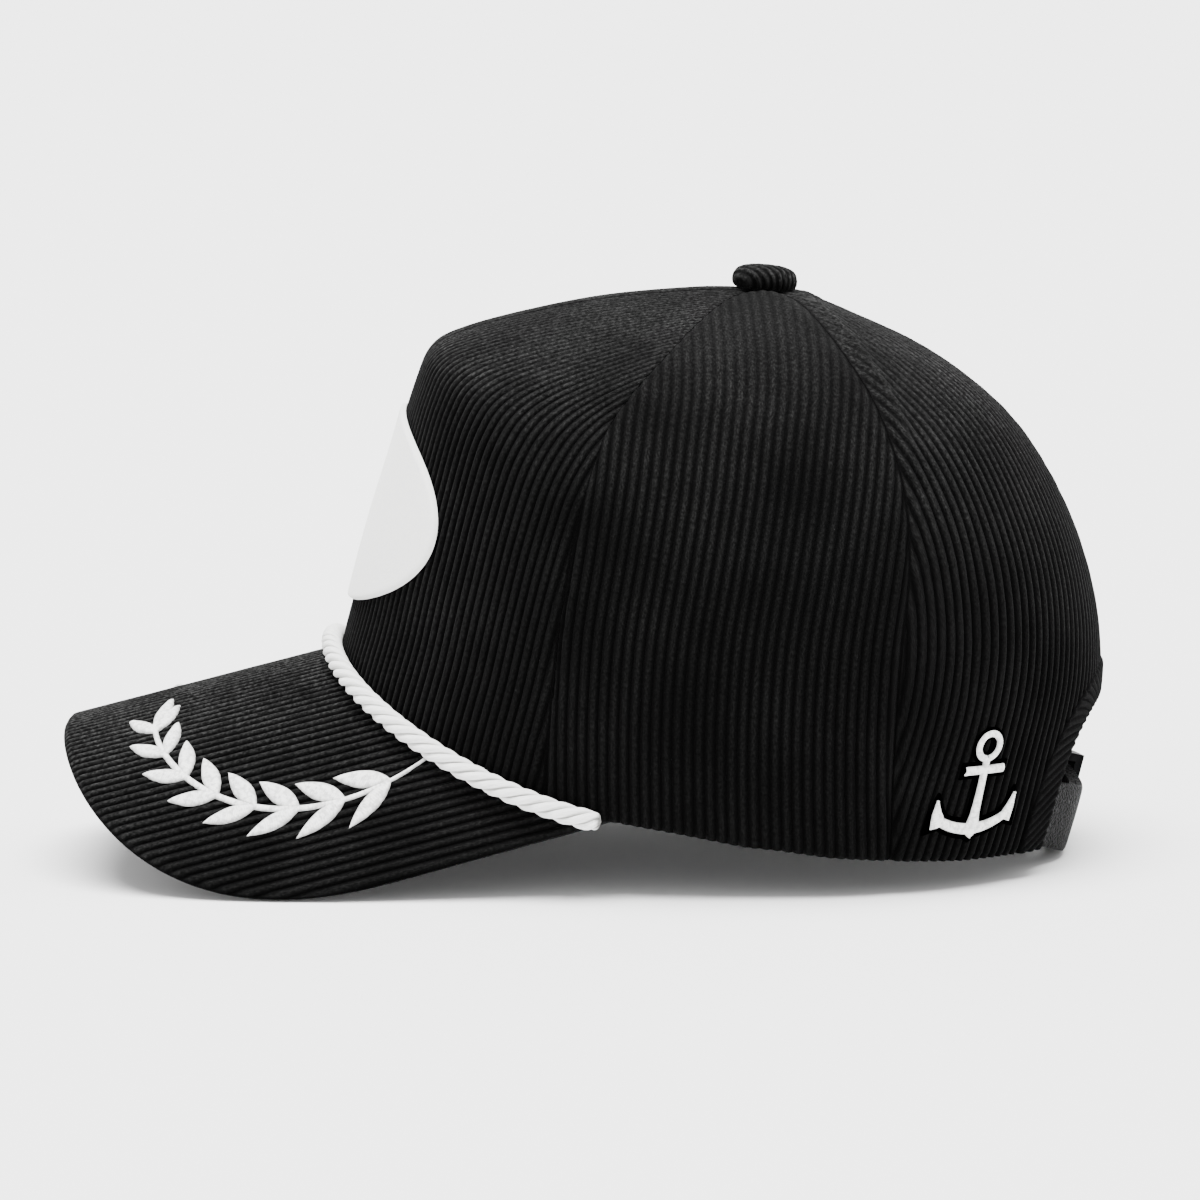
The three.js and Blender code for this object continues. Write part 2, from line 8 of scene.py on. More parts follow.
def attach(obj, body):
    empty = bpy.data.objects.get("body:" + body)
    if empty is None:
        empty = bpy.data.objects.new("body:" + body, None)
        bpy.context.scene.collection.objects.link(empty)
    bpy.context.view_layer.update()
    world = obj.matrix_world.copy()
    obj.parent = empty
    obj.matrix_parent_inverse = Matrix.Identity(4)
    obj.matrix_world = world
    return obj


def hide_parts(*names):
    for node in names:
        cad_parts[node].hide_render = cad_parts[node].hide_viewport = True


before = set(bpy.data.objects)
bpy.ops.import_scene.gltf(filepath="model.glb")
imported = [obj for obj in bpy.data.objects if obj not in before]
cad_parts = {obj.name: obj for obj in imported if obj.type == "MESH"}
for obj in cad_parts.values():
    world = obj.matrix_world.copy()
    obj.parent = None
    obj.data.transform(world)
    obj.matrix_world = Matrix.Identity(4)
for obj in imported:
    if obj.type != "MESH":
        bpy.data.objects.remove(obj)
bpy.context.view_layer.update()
print("frame loaded")

# the crown: its reaches from the button's axis, its height and its wall
crown = {
    "height": 0.153,
    "frontReach": 0.1176,
    "sideReach": 0.0812,
    "backReach": 0.09,
    "backSquareness": 2.15,
    "wall": 0.002,
    "rimLift": 0.014,
    "gap": 0.0003,
    "topLevel": 11.72,
}

# the peak: a board bent round a sloping elliptical cylinder
peak = {
    "reach": 0.075,
    "seamSetback": 0.003,
    "arch": 0.087,
    "sideClearance": 0.0008,
    "bend": radians(68.2),
    "rise": 0.252,
    "thickness": 0.0032,
    "squareness": 2.3,
    "cornerAngle": 70,
    "widestShare": 0.2,
}

# the opening over the strap, and the strap in it
arch = {"width": 0.088, "height": 0.044, "squareness": 3.4}
strap = {"width": 0.0185, "thickness": 0.0016, "overlap": 0.064, "steepness": 0.965, "cornerRadius": 0.0045}

# sections of the crown, rim to top: shares of the reaches and the height, and how square the front is
sectionColumns = ("front", "frontUp", "side", "sideUp", "back", "backUp", "square", "frontSeam", "backSeam")
sectionRows = (
    (1.0, 0.222, 0.93, -0.04, 0.894, 0.0, 2.6, 60.5, 110),
    (0.992, 0.301, 0.961, 0.065, 0.951, 0.118, 2.55, 60.5, 110),
    (0.971, 0.379, 0.988, 0.183, 0.982, 0.235, 2.4, 60.2, 109.7),
    (0.94, 0.474, 1.0, 0.307, 1.0, 0.346, 2.28, 59.8, 110),
    (0.896, 0.595, 0.993, 0.431, 0.98, 0.458, 2.3, 59.5, 111.5),
    (0.84, 0.729, 0.956, 0.562, 0.924, 0.575, 2.45, 60, 114.5),
    (0.794, 0.843, 0.887, 0.68, 0.833, 0.686, 2.65, 61.5, 116.5),
    (0.7585, 0.899, 0.8, 0.775, 0.728, 0.773, 2.7, 63.5, 117),
    (0.689, 0.929, 0.696, 0.847, 0.589, 0.845, 2.5, 66, 118),
    (0.553, 0.959, 0.554, 0.91, 0.444, 0.901, 2.3, 68, 118),
    (0.349, 0.987, 0.369, 0.959, 0.289, 0.943, 2.15, 67, 120),
    (0.153, 1.0, 0.172, 0.989, 0.133, 0.982, 2.05, 64, 126),
    (0.0, 0.995, 0.0, 0.995, 0.0, 0.995, 2.0, 62, 130),
)
sections = dict(zip(sectionColumns, np.array(sectionRows, float).T))

# the rim's height by angle from the front, as a share of its lift at the side
rimAngles = (60, 70, 78, 86, 100, 112, 124, 140, 180)
rimShares = (1.62, 1.45, 1.24, 1.0, 0.76, 0.64, 0.55, 0.5, 0.47)

buttonAxis = (crown["frontReach"] - peak["seamSetback"] + peak["reach"] - crown["backReach"]) / 2
crownFrontY = buttonAxis - crown["frontReach"] + peak["seamSetback"]
peakHalfSpan = crown["sideReach"] + peak["sideClearance"]
peakWidestY = crownFrontY + peak["widestShare"] * peak["reach"]
peakNoseY = crownFrontY - peak["reach"]


def mix(a, b, share):
    return a + (b - a) * share


def ease(value, low, high):
    share = np.clip((np.asarray(value, float) - low) / (high - low), 0, 1)
    return share * share * (3 - 2 * share)


def columnAt(name, place):
    # a value between the sections, read along a smooth curve
    values = sections[name]
    last = len(values) - 1
    place = np.asarray(place, float)
    row = np.clip(np.floor(place), 0, last - 1).astype(int)
    f = place - row

    def valueAt(index):
        return values[np.clip(index, 0, last)]

    def slopeAt(index):
        return (valueAt(index + 1) - valueAt(index - 1)) / np.where((index == 0) | (index == last), 1, 2)

    rise = 3 * f**2 - 2 * f**3
    bow = (f**3 - 2 * f**2 + f) * slopeAt(row) + (f**3 - f**2) * slopeAt(row + 1)
    return mix(valueAt(row), valueAt(row + 1), rise) + bow


def crownOuter(level, angle):
    # a point of the crown's face: level counts the sections, angle turns from the front to the left
    level, angle = np.broadcast_arrays(np.asarray(level, float), np.asarray(angle, float))
    ahead = np.cos(angle) > 0
    power = np.where(ahead, columnAt("square", level), crown["backSquareness"])
    across = np.abs(np.sin(angle))
    along = np.abs(np.cos(angle))
    size = (across**power + along**power) ** (-1 / power)
    frontReach = -crown["frontReach"] * columnAt("front", level)
    reach = np.where(ahead, frontReach, crown["backReach"] * columnAt("back", level))
    endUp = np.where(ahead, columnAt("frontUp", level), columnAt("backUp", level))
    up = mix(endUp, columnAt("sideUp", level), (size * across) ** power)
    x = crown["sideReach"] * columnAt("side", level) * size * np.sin(angle)
    return np.stack([x, buttonAxis + reach * size * along, crown["height"] * up], -1)


def crownNormal(level, angle):
    # straight out of the crown's face
    step = 0.004
    up = crownOuter(level + step, angle) - crownOuter(level - step, angle)
    around = crownOuter(level, angle + step) - crownOuter(level, angle - step)
    normal = np.cross(around, up)
    return normal / np.linalg.norm(normal, axis=-1, keepdims=True)


def crownPoint(level, angle, depth):
    # a point so deep below the crown's face
    return crownOuter(level, angle) - crownNormal(level, angle) * np.asarray(depth)[..., None]


def levelWhere(angle, depth, heightAt, passes=18):
    # the level at which the crown, followed at each angle, reaches a height
    low = np.full(np.shape(angle), 0.02)
    high = np.full(np.shape(angle), 8.0)
    depth = np.broadcast_to(depth, np.shape(angle))
    for _ in range(passes):
        middle = (low + high) / 2
        point = crownPoint(middle, angle, depth) if np.any(depth) else crownOuter(middle, angle)
        below = point[..., 2] < heightAt(point)
        low = np.where(below, middle, low)
        high = np.where(below, high, middle)
    return (low + high) / 2


def peakFace(bend, y, depth):
    # a point so deep below the top of the peak, before it is stood on its lowest edges
    normal = np.stack([
        np.sin(bend) * peak["arch"] / peakHalfSpan,
        -peak["rise"] * np.cos(bend),
        np.cos(bend),
    ], -1)
    normal /= np.linalg.norm(normal, axis=-1, keepdims=True)
    z = peak["rise"] * (y - peakNoseY) - peak["arch"] * (1 - np.cos(bend))
    return np.stack([peakHalfSpan * np.sin(bend), y, z], -1) - normal * np.asarray(depth)[..., None]


def peakFrontEdge(bend):
    # how far forward the peak reaches at a bend
    share = np.clip(np.abs(bend) / peak["bend"], 0, 1)
    reach = (1 - share ** peak["squareness"]) ** (1 / peak["squareness"])
    return peakWidestY - (peakWidestY - peakNoseY) * reach


edgeBends = np.linspace(0, peak["bend"], 200)
peakLowest = peakFace(edgeBends, peakFrontEdge(edgeBends), np.full(200, peak["thickness"]))[:, 2].min()


def peakPoint(bend, y, depth):
    point = peakFace(bend, y, depth)
    point[..., 2] -= peakLowest
    return point


def peakTopAt(x, y, clearance):
    # how high the peak's top lies below a place on the crown
    share = np.minimum(np.abs(x) / peakHalfSpan, 0.97)
    drop = peak["arch"] * (1 - np.sqrt(1 - share**2))
    slope = (peak["arch"] / peakHalfSpan) * share / np.sqrt(1 - share**2)
    height = peak["rise"] * (y - peakNoseY) - peakLowest - drop
    return height + clearance * np.sqrt(1 + slope**2 + peak["rise"] ** 2)


def rimHeightAt(angle, point):
    # the crown's lower edge: on the peak at the front, free behind its corners
    turned = np.degrees(np.abs(angle))
    free = crown["rimLift"] * np.interp(turned, rimAngles, rimShares)
    onPeak = peakTopAt(point[..., 0], point[..., 1], crown["gap"])
    pastCorner = ease(turned, peak["cornerAngle"] + 0.5, peak["cornerAngle"] + 6)
    return mix(np.maximum(onPeak, free), free, pastCorner)


def archTopAt(point):
    # how high the opening at the back reaches
    share = np.clip(np.abs(point[..., 0]) / (arch["width"] / 2), 0, 1)
    height = arch["height"] * (1 - share ** arch["squareness"]) ** (1 / arch["squareness"])
    return np.where(point[..., 1] > buttonAxis, height, 0)


def archAngle(halfWidth):
    # the angle at which the rim is so far from the middle of the back
    angles = np.linspace(pi / 2, pi, 2000)
    across = crownOuter(1.2, angles)[:, 0]
    return float(np.interp(-halfWidth, -across, angles))


def crownSpot(startAngle, distance, height, lift):
    # a place at a height, so far round from a starting angle, and lifted off the face
    steps = 14
    distance, height, lift = np.broadcast_arrays(distance, height, lift)
    angle = np.full(distance.shape, float(startAngle))
    turn = np.where(distance < 0, -0.004, 0.004)
    here = crownOuter(levelWhere(angle, 0, lambda point: height), angle)
    for _ in range(steps):
        level = levelWhere(angle + turn, 0, lambda point: height)
        stride = np.linalg.norm(crownOuter(level, angle + turn) - here, axis=-1)
        angle = angle + turn * np.abs(distance) / (steps * stride)
        here = crownOuter(levelWhere(angle, 0, lambda point: height), angle)
    return crownPoint(levelWhere(angle, 0, lambda point: height), angle, -lift)


# making and finishing the pieces
def deselectAll():
    if bpy.context.object and bpy.context.object.mode != "OBJECT":
        bpy.ops.object.mode_set(mode="OBJECT")
    bpy.ops.object.select_all(action="DESELECT")


def gridPiece(name, points):
    # a grid primitive whose rows and columns are laid on the given points
    rows, columns = points.shape[:2]
    deselectAll()
    bpy.ops.mesh.primitive_grid_add(x_subdivisions=columns - 1, y_subdivisions=rows - 1, size=1)
    piece = bpy.context.object
    piece.name = name
    piece.data.name = name
    piece.data.vertices.foreach_set("co", np.ascontiguousarray(points, np.float32).ravel())
    piece.data.update()
    return piece


def pointsOf(piece):
    points = np.zeros(len(piece.data.vertices) * 3, np.float32)
    piece.data.vertices.foreach_get("co", points)
    return points.reshape(-1, 3)


def setPoints(piece, points):
    piece.data.vertices.foreach_set("co", np.ascontiguousarray(points, np.float32).ravel())
    piece.data.update()


def setValues(piece, name, values):
    # a value for each point, which the materials read
    isVector = np.ndim(values) == 2
    kind = "FLOAT_VECTOR" if isVector else "FLOAT"
    attribute = piece.data.attributes.get(name) or piece.data.attributes.new(name, kind, "POINT")
    flat = np.ascontiguousarray(values, np.float32).ravel()
    attribute.data.foreach_set("vector" if isVector else "value", flat)


def mergeDoubles(piece, distance=0.00001):
    deselectAll()
    piece.select_set(True)
    bpy.context.view_layer.objects.active = piece
    bpy.ops.object.mode_set(mode="EDIT")
    bpy.ops.mesh.select_all(action="SELECT")
    bpy.ops.mesh.remove_doubles(threshold=distance)
    bpy.ops.object.mode_set(mode="OBJECT")


def closeEnds(faceOutwards=False):
    # fills what is left open on the active piece
    bpy.ops.object.mode_set(mode="EDIT")
    bpy.ops.mesh.select_all(action="SELECT")
    bpy.ops.mesh.fill_holes(sides=0)
    if faceOutwards:
        bpy.ops.mesh.normals_make_consistent(inside=False)
    bpy.ops.object.mode_set(mode="OBJECT")


def giveWall(piece, thickness):
    # a wall behind the face; the face's own points stay the first ones
    deselectAll()
    piece.select_set(True)
    bpy.context.view_layer.objects.active = piece
    wall = piece.modifiers.new("wall", "SOLIDIFY")
    wall.thickness = thickness
    wall.offset = -1
    bpy.ops.object.modifier_apply(modifier=wall.name)


def joinPieces(name, pieces):
    deselectAll()
    for piece in pieces:
        piece.select_set(True)
    bpy.context.view_layer.objects.active = pieces[0]
    bpy.ops.object.join()
    joined = bpy.context.object
    joined.name = name
    joined.data.name = name
    return joined


def smoothPiece(piece, angle=70):
    deselectAll()
    piece.select_set(True)
    bpy.context.view_layer.objects.active = piece
    bpy.ops.object.shade_smooth_by_angle(angle=radians(angle))


def finishPiece(piece, material, slot, *nodes):
    piece.data.materials.clear()
    piece.data.materials.append(material)
    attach(piece, "root")
    if nodes:
        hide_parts(*nodes)


# materials
def startMaterial(name, finish):
    material = bpy.data.materials.new(name)
    material.use_nodes = True
    shader = material.node_tree.nodes["Principled BSDF"]
    for socket, value in finish.items():
        shader.inputs[socket].default_value = value
    return material, material.node_tree, shader


def addNode(tree, kind, settings=None, **inputs):
    node = tree.nodes.new(kind)
    for name, value in (settings or {}).items():
        setattr(node, name, value)
    for name, value in inputs.items():
        socket = node.inputs[name.replace("_", " ")]
        if isinstance(value, bpy.types.NodeSocket):
            tree.links.new(value, socket)
        else:
            socket.default_value = value
    return node


def mapped(tree, source, scale):
    return addNode(tree, "ShaderNodeMapping", Vector=source, Scale=scale).outputs["Vector"]


def readValue(tree, name, output="Fac"):
    return addNode(tree, "ShaderNodeAttribute", {"attribute_name": name}).outputs[output]


def objectPlace(tree):
    return addNode(tree, "ShaderNodeTexCoord").outputs["Object"]


def noiseOf(tree, place, scale, detail=2.0, roughness=0.5):
    noise = addNode(tree, "ShaderNodeTexNoise", Vector=place, Scale=scale, Detail=detail, Roughness=roughness)
    return noise.outputs["Fac"]


def rampOf(tree, value, *stops):
    ramp = addNode(tree, "ShaderNodeValToRGB", Fac=value)
    elements = ramp.color_ramp.elements
    while len(elements) < len(stops):
        elements.new(0.5)
    for element, (place, color) in zip(elements, stops):
        element.position = place
        element.color = (*np.broadcast_to(color, 3).astype(float), 1)  # one number gives a grey
    return ramp.outputs["Color"]


def multiply(tree, share, first, second):
    node = addNode(tree, "ShaderNodeMix", {"data_type": "RGBA", "blend_type": "MULTIPLY"})
    for socket, value in zip((node.inputs[0], node.inputs[6], node.inputs[7]), (share, first, second)):
        if isinstance(value, bpy.types.NodeSocket):
            tree.links.new(value, socket)
        else:
            socket.default_value = value
    return node.outputs[2]


def addBump(tree, shader, height, strength, distance):
    bump = addNode(tree, "ShaderNodeBump", Height=height, Strength=strength, Distance=distance)
    tree.links.new(bump.outputs["Normal"], shader.inputs["Normal"])


def colorBy(tree, shader, color):
    tree.links.new(color, shader.inputs["Base Color"])


# groove to crest tones, the grooves darkest as painted shade; the side and half shares are painted shade on
# cloth that does not face up
corduroyFinish = {
    "groove": 0.0009,
    "shoulder": 0.0046,
    "crest": (0.0165, 0.0165, 0.0163),
    "paintedSideShade": 0.135,
    "paintedHalfLight": 0.42,
    "pileScale": (2300, 1000, 1),
    "patchScale": 46,
    "speckScale": 950,
    "sheen": 0.02,
}


def makeCorduroy():
    # painted shade in the grooves, lighter crests, and painted light from above: upward-facing cloth lighter,
    # side-facing cloth darker
    values = {"Roughness": 0.95, "Sheen Weight": corduroyFinish["sheen"], "Sheen Roughness": 0.5,
              "Sheen Tint": (0.6, 0.6, 0.61, 1), "Specular IOR Level": 0.03}
    material, tree, shader = startMaterial("corduroy", values)
    recessShade = readValue(tree, "recessShade")
    cloth = readValue(tree, "cloth", "Vector")
    topLight = readValue(tree, "topLight")
    place = objectPlace(tree)
    fibres = noiseOf(tree, mapped(tree, cloth, corduroyFinish["pileScale"]), 1.0, 3.0, 0.65)
    patches = noiseOf(tree, place, corduroyFinish["patchScale"], 4.0, 0.6)
    specks = noiseOf(tree, place, corduroyFinish["speckScale"], 2.0, 0.6)
    groove, shoulder = corduroyFinish["groove"], corduroyFinish["shoulder"]
    paintedSideShade, paintedHalfLight = corduroyFinish["paintedSideShade"], corduroyFinish["paintedHalfLight"]
    # painted shade: the grooves between the ribs darkest, the crests lightest
    ribColor = rampOf(tree, recessShade, (0.0, groove), (0.5, shoulder), (1.0, corduroyFinish["crest"]))
    fibreShade = rampOf(tree, fibres, (0.36, 0.35), (0.5, 0.85), (0.64, 1.65))
    speckShade = rampOf(tree, specks, (0.4, 0.45), (0.6, 1.7))
    patchShade = rampOf(tree, patches, (0.32, 0.6), (0.68, 1.4))
    # painted light from above: side-facing cloth darkened, upward-facing cloth at full tone, with the specks
    # showing where it is lit
    topLightShade = rampOf(tree, topLight, (0.0, paintedSideShade), (0.45, paintedHalfLight), (1.0, 1))
    color = multiply(tree, 1.0, ribColor, fibreShade)
    color = multiply(tree, topLight, color, speckShade)
    color = multiply(tree, 1.0, color, patchShade)
    colorBy(tree, shader, multiply(tree, 1.0, color, topLightShade))
    addBump(tree, shader, fibres, 0.55, 0.0004)
    return material


def makeThread():
    values = {"Roughness": 0.62, "Sheen Weight": 0.25, "Sheen Roughness": 0.4, "Specular IOR Level": 0.3}
    material, tree, shader = startMaterial("white thread", values)
    place = objectPlace(tree)
    grain = noiseOf(tree, place, 800, 3, 0.6)
    tone = rampOf(tree, grain, (0.38, (0.62, 0.62, 0.61)), (0.56, (0.96, 0.96, 0.94)))
    # painted shade where the stitches dip, at their edges and the parting, together with the thread lines
    relief = rampOf(tree, readValue(tree, "recessShade"), (0.0, 0.35), (0.75, 0.86), (1, 1))
    colorBy(tree, shader, multiply(tree, 1.0, tone, relief))
    addBump(tree, shader, noiseOf(tree, place, 1500, 3), 0.5, 0.0004)
    return material


def makeRopeCotton():
    values = {"Roughness": 0.8, "Sheen Weight": 0.3, "Sheen Roughness": 0.5, "Specular IOR Level": 0.2}
    material, tree, shader = startMaterial("rope cotton", values)
    cloth = readValue(tree, "cloth", "Vector")
    fibres = noiseOf(tree, mapped(tree, cloth, (260, 3400, 1)), 1.0, 3)
    # painted shade in the crevices between strands and yarns, deepest towards the rope's core
    depth = rampOf(tree, readValue(tree, "recessShade"), (0.0, (0.16, 0.16, 0.15)), (0.35, (0.62, 0.62, 0.6)),
                   (0.7, (0.94, 0.94, 0.92)))
    shade = rampOf(tree, fibres, (0.3, 0.86), (0.7, 1))
    colorBy(tree, shader, multiply(tree, 1.0, depth, shade))
    addBump(tree, shader, fibres, 0.5, 0.0003)
    return material


def makePatchCloth():
    values = {"Roughness": 0.85, "Sheen Weight": 0.2, "Sheen Roughness": 0.5, "Specular IOR Level": 0.2}
    material, tree, shader = startMaterial("patch cloth", values)
    felt = noiseOf(tree, objectPlace(tree), 1500, 4, 0.65)
    colorBy(tree, shader, rampOf(tree, felt, (0.3, (0.82, 0.82, 0.8)), (0.7, (0.9, 0.9, 0.88))))
    addBump(tree, shader, felt, 0.35, 0.0003)
    return material


def makeLeather():
    # scuffed grain: pores between small plates, with a few light flecks
    values = {"Roughness": 0.6, "Specular IOR Level": 0.05}
    material, tree, shader = startMaterial("strap leather", values)
    place = objectPlace(tree)
    grain = addNode(tree, "ShaderNodeTexVoronoi", {"feature": "DISTANCE_TO_EDGE"}, Vector=place, Scale=720.0)
    pores = rampOf(tree, grain.outputs["Distance"], (0.0, 0), (0.22, 1))
    flecks = noiseOf(tree, place, 1100, 3)
    tone = rampOf(tree, flecks, (0.4, (0.0005, 0.0005, 0.0006)), (0.52, (0.0016, 0.0016, 0.0018)),
                  (0.64, (0.013, 0.013, 0.0142)))
    colorBy(tree, shader, multiply(tree, 0.6, tone, pores))
    addBump(tree, shader, pores, 0.9, 0.0005)
    return material


def makeTwill():
    values = {"Roughness": 0.9, "Sheen Weight": 0.02, "Sheen Roughness": 0.5, "Specular IOR Level": 0.04}
    material, tree, shader = startMaterial("band twill", values)
    cloth = readValue(tree, "cloth", "Vector")
    turned = addNode(tree, "ShaderNodeMapping", Vector=cloth, Rotation=(0, 0, radians(60)), Scale=(1, 1, 1))
    lines = addNode(tree, "ShaderNodeTexWave", Vector=turned.outputs["Vector"], Scale=420.0, Distortion=0.6)
    weave = lines.outputs["Fac"]
    colorBy(tree, shader, rampOf(tree, weave, (0.2, (0.0015, 0.0015, 0.0016)), (0.8, (0.006, 0.006, 0.0062))))
    addBump(tree, shader, weave, 0.5, 0.0003)
    return material


def makeBlackThread():
    values = {"Roughness": 0.9, "Specular IOR Level": 0.0}
    material, tree, shader = startMaterial("black thread", values)
    grain = noiseOf(tree, objectPlace(tree), 2600, 3)
    colorBy(tree, shader, rampOf(tree, grain, (0.35, 0.00002), (0.75, 0.0003)))
    addBump(tree, shader, grain, 0.7, 0.0003)
    return material


def makeClaspMetal():
    values = {"Metallic": 0.5, "Roughness": 0.45, "Specular IOR Level": 0.03}
    material, tree, shader = startMaterial("clasp metal", values)
    wear = noiseOf(tree, objectPlace(tree), 260, 4)
    colorBy(tree, shader, rampOf(tree, wear, (0.35, (0.0012, 0.0012, 0.0013)), (0.7, (0.004, 0.004, 0.0042))))
    addBump(tree, shader, wear, 0.15, 0.0002)
    return material


corduroy = makeCorduroy()
whiteThread = makeThread()
ropeCotton = makeRopeCotton()
patchCloth = makePatchCloth()
leather = makeLeather()
twill = makeTwill()
blackThread = makeBlackThread()
claspMetal = makeClaspMetal()
print("materials ready")

# the ribs of the corduroy: where their points lie in one pitch, how high each is, and how much painted shade
# each gets (darkest in the groove)
ribs = {
    "pitch": 0.00265,
    "places": (0.0, 0.17, 0.38, 0.62, 0.83),
    "lifts": (-0.00054, -0.00016, 0.00024, 0.00024, -0.00016),
    "recessShades": (0.0, 0.36, 1.0, 1.0, 0.36),
    "unevenness": 0.12,
    "edgeSteps": (0.00035, 0.0002, 0.0001, 0.00004, 0.00001),
    "softSeam": 0.0011,
    "seamDrop": 0.0009,
    "seamWidth": 0.0026,
    "rimDrop": 0.0005,
    "rimWidth": 0.0012,
    "pucker": 0.00016,
    "puckerLength": 0.0085,
    "billow": 0.0003,
    "topFade": 0.72,
    "waveLengths": (0.012, 0.026, 0.061),
    "levelSteps": 420,
    "angleSteps": 241,
    # the painted shade given to flat cloth at the seam edges and on the inside faces
    "flatClothShade": 0.3,
}


def ribColumns(low, high, pitch):
    # where the mesh's columns lie across the ribs, with each one's lift and painted groove shade
    numbers = np.arange(int(np.floor(low / pitch)), int(np.ceil(high / pitch)) + 1)
    across = ((numbers[:, None] + np.array(ribs["places"])) * pitch).ravel()
    lifts = np.tile(ribs["lifts"], len(numbers))
    recessShades = np.tile(ribs["recessShades"], len(numbers))
    number = np.repeat(numbers, len(ribs["places"]))
    inside = (across > low) & (across < high)
    return across[inside], lifts[inside], recessShades[inside], number[inside]


def ribProfile(turns):
    # the lift and the painted groove shade across a rib, for places counted in ribs
    phase = np.mod(turns, 1)
    places = (*ribs["places"], 1)
    lift = np.interp(phase, places, (*ribs["lifts"], ribs["lifts"][0]))
    return lift, np.interp(phase, places, (*ribs["recessShades"], 0))


def unevenRibs(number, along, seed):
    # slow changes of height along each rib, from a few waves of its own
    random = np.random.default_rng(seed)
    count = int(number.max() - number.min()) + 1
    total = np.zeros(along.shape)
    for length in ribs["waveLengths"]:
        phase = random.uniform(0, 2 * pi, count)[number - number.min()]
        stretch = random.uniform(0.8, 1.25, count)[number - number.min()]
        total += np.sin(2 * pi * along / length * stretch + phase)
    return total / len(ribs["waveLengths"])


def clothSwells(x, y, z, seed):
    # slow swells of the cloth over the whole crown
    return np.sin(62 * x + 95 * z + seed) + np.sin(150 * y - 70 * z + 2 * seed) + np.sin(110 * y + 170 * z)


def alongColumns(table, levels, level):
    # reads a table of levels by columns at a level of its own for each row and column
    place = (level - levels[0]) / (levels[1] - levels[0])
    row = np.clip(np.floor(place).astype(int), 0, len(levels) - 2)
    f = np.clip(place - row, 0, 1)
    column = np.broadcast_to(np.arange(table.shape[1]), level.shape)
    return mix(table[row, column], table[row + 1, column], f)


def panelFace(fromAngle, toAngle, grainShare, floorAt, rows, pitch):
    # a panel whose mesh columns follow its ribs, each a constant way from the grain line
    levels = np.linspace(0.02, crown["topLevel"], ribs["levelSteps"])
    shares = np.linspace(0, 1, ribs["angleSteps"])
    start = fromAngle(levels)[:, None]
    end = toAngle(levels)[:, None]
    table = crownOuter(levels[:, None], mix(start, end, shares))
    stride = np.linalg.norm(np.diff(table, axis=1), axis=-1)
    around = np.concatenate([np.zeros((len(levels), 1)), np.cumsum(stride, 1)], 1)
    grain = grainShare(levels)
    around -= np.array([np.interp(g, shares, row) for g, row in zip(grain, around)])[:, None]
    widest = (around[:, 0].min(), around[:, -1].max())
    columns, lifts, recessShades, number = ribColumns(*widest, pitch)
    # closer columns where the panel is widest, so that its edge follows the seam
    for step in ribs["edgeSteps"]:
        columns = np.concatenate([[widest[0] + step], columns, [widest[1] - step]])
        lifts = np.concatenate([[0], lifts, [0]])
        recessShades = np.concatenate([[ribs["flatClothShade"]], recessShades, [ribs["flatClothShade"]]])
        number = np.concatenate([[number[0]], number, [number[-1]]])
    order = np.argsort(columns)
    columns, lifts, recessShades, number = columns[order], lifts[order], recessShades[order], number[order]
    share = np.array([np.interp(columns, row, shares) for row in around])
    angle = mix(start, end, share)
    points = crownOuter(levels[:, None], angle)
    left = columns - around[:, [0]]
    right = around[:, [-1]] - columns
    above = points[..., 2] - floorAt(angle, points)
    inside = np.minimum(np.minimum(left, right), above)
    first = np.argmax(inside >= 0, 0)
    last = len(levels) - 1 - np.argmax(inside[::-1] >= 0, 0)
    every = np.arange(len(columns))
    before = np.maximum(first - 1, 0)
    after = np.minimum(last + 1, len(levels) - 1)

    def crossing(near, far):
        a = inside[near, every]
        b = inside[far, every]
        part = np.where(b < 0, a / np.maximum(a - b, 1e-9), 0)
        return mix(levels[near], levels[far], part)

    low = crossing(first, before)
    high = crossing(last, after)
    kept = (inside.max(0) > 0) & (high - low > 0.05)
    low, high = low[kept], high[kept]
    step = np.linalg.norm(np.gradient(points, axis=0), axis=-1)
    leftEdge = left / np.sqrt(1 + (np.gradient(around[:, 0])[:, None] / step) ** 2)
    rightEdge = right / np.sqrt(1 + (np.gradient(around[:, -1])[:, None] / step) ** 2)
    level = low + (high - low) * np.linspace(0, 1, rows)[:, None]
    faceAngle = alongColumns(angle[:, kept], levels, level)
    leftEdge = alongColumns(leftEdge[:, kept], levels, level)
    rightEdge = alongColumns(rightEdge[:, kept], levels, level)
    face = crownOuter(level, faceAngle)
    strides = np.linalg.norm(np.diff(face, axis=0), axis=-1)
    fromRim = np.concatenate([np.zeros((1, face.shape[1])), np.cumsum(strides, 0)], 0)
    return {
        "points": face,
        "normals": crownNormal(level, faceAngle),
        "level": level,
        "angle": faceAngle,
        "left": np.maximum(leftEdge, 0),
        "right": np.maximum(rightEdge, 0),
        "fromRim": fromRim,
        "softLeft": 0,
        "softRight": 0,
        "across": columns[kept],
        "lifts": lifts[kept],
        "recessShades": recessShades[kept],
        "number": number[kept],
    }


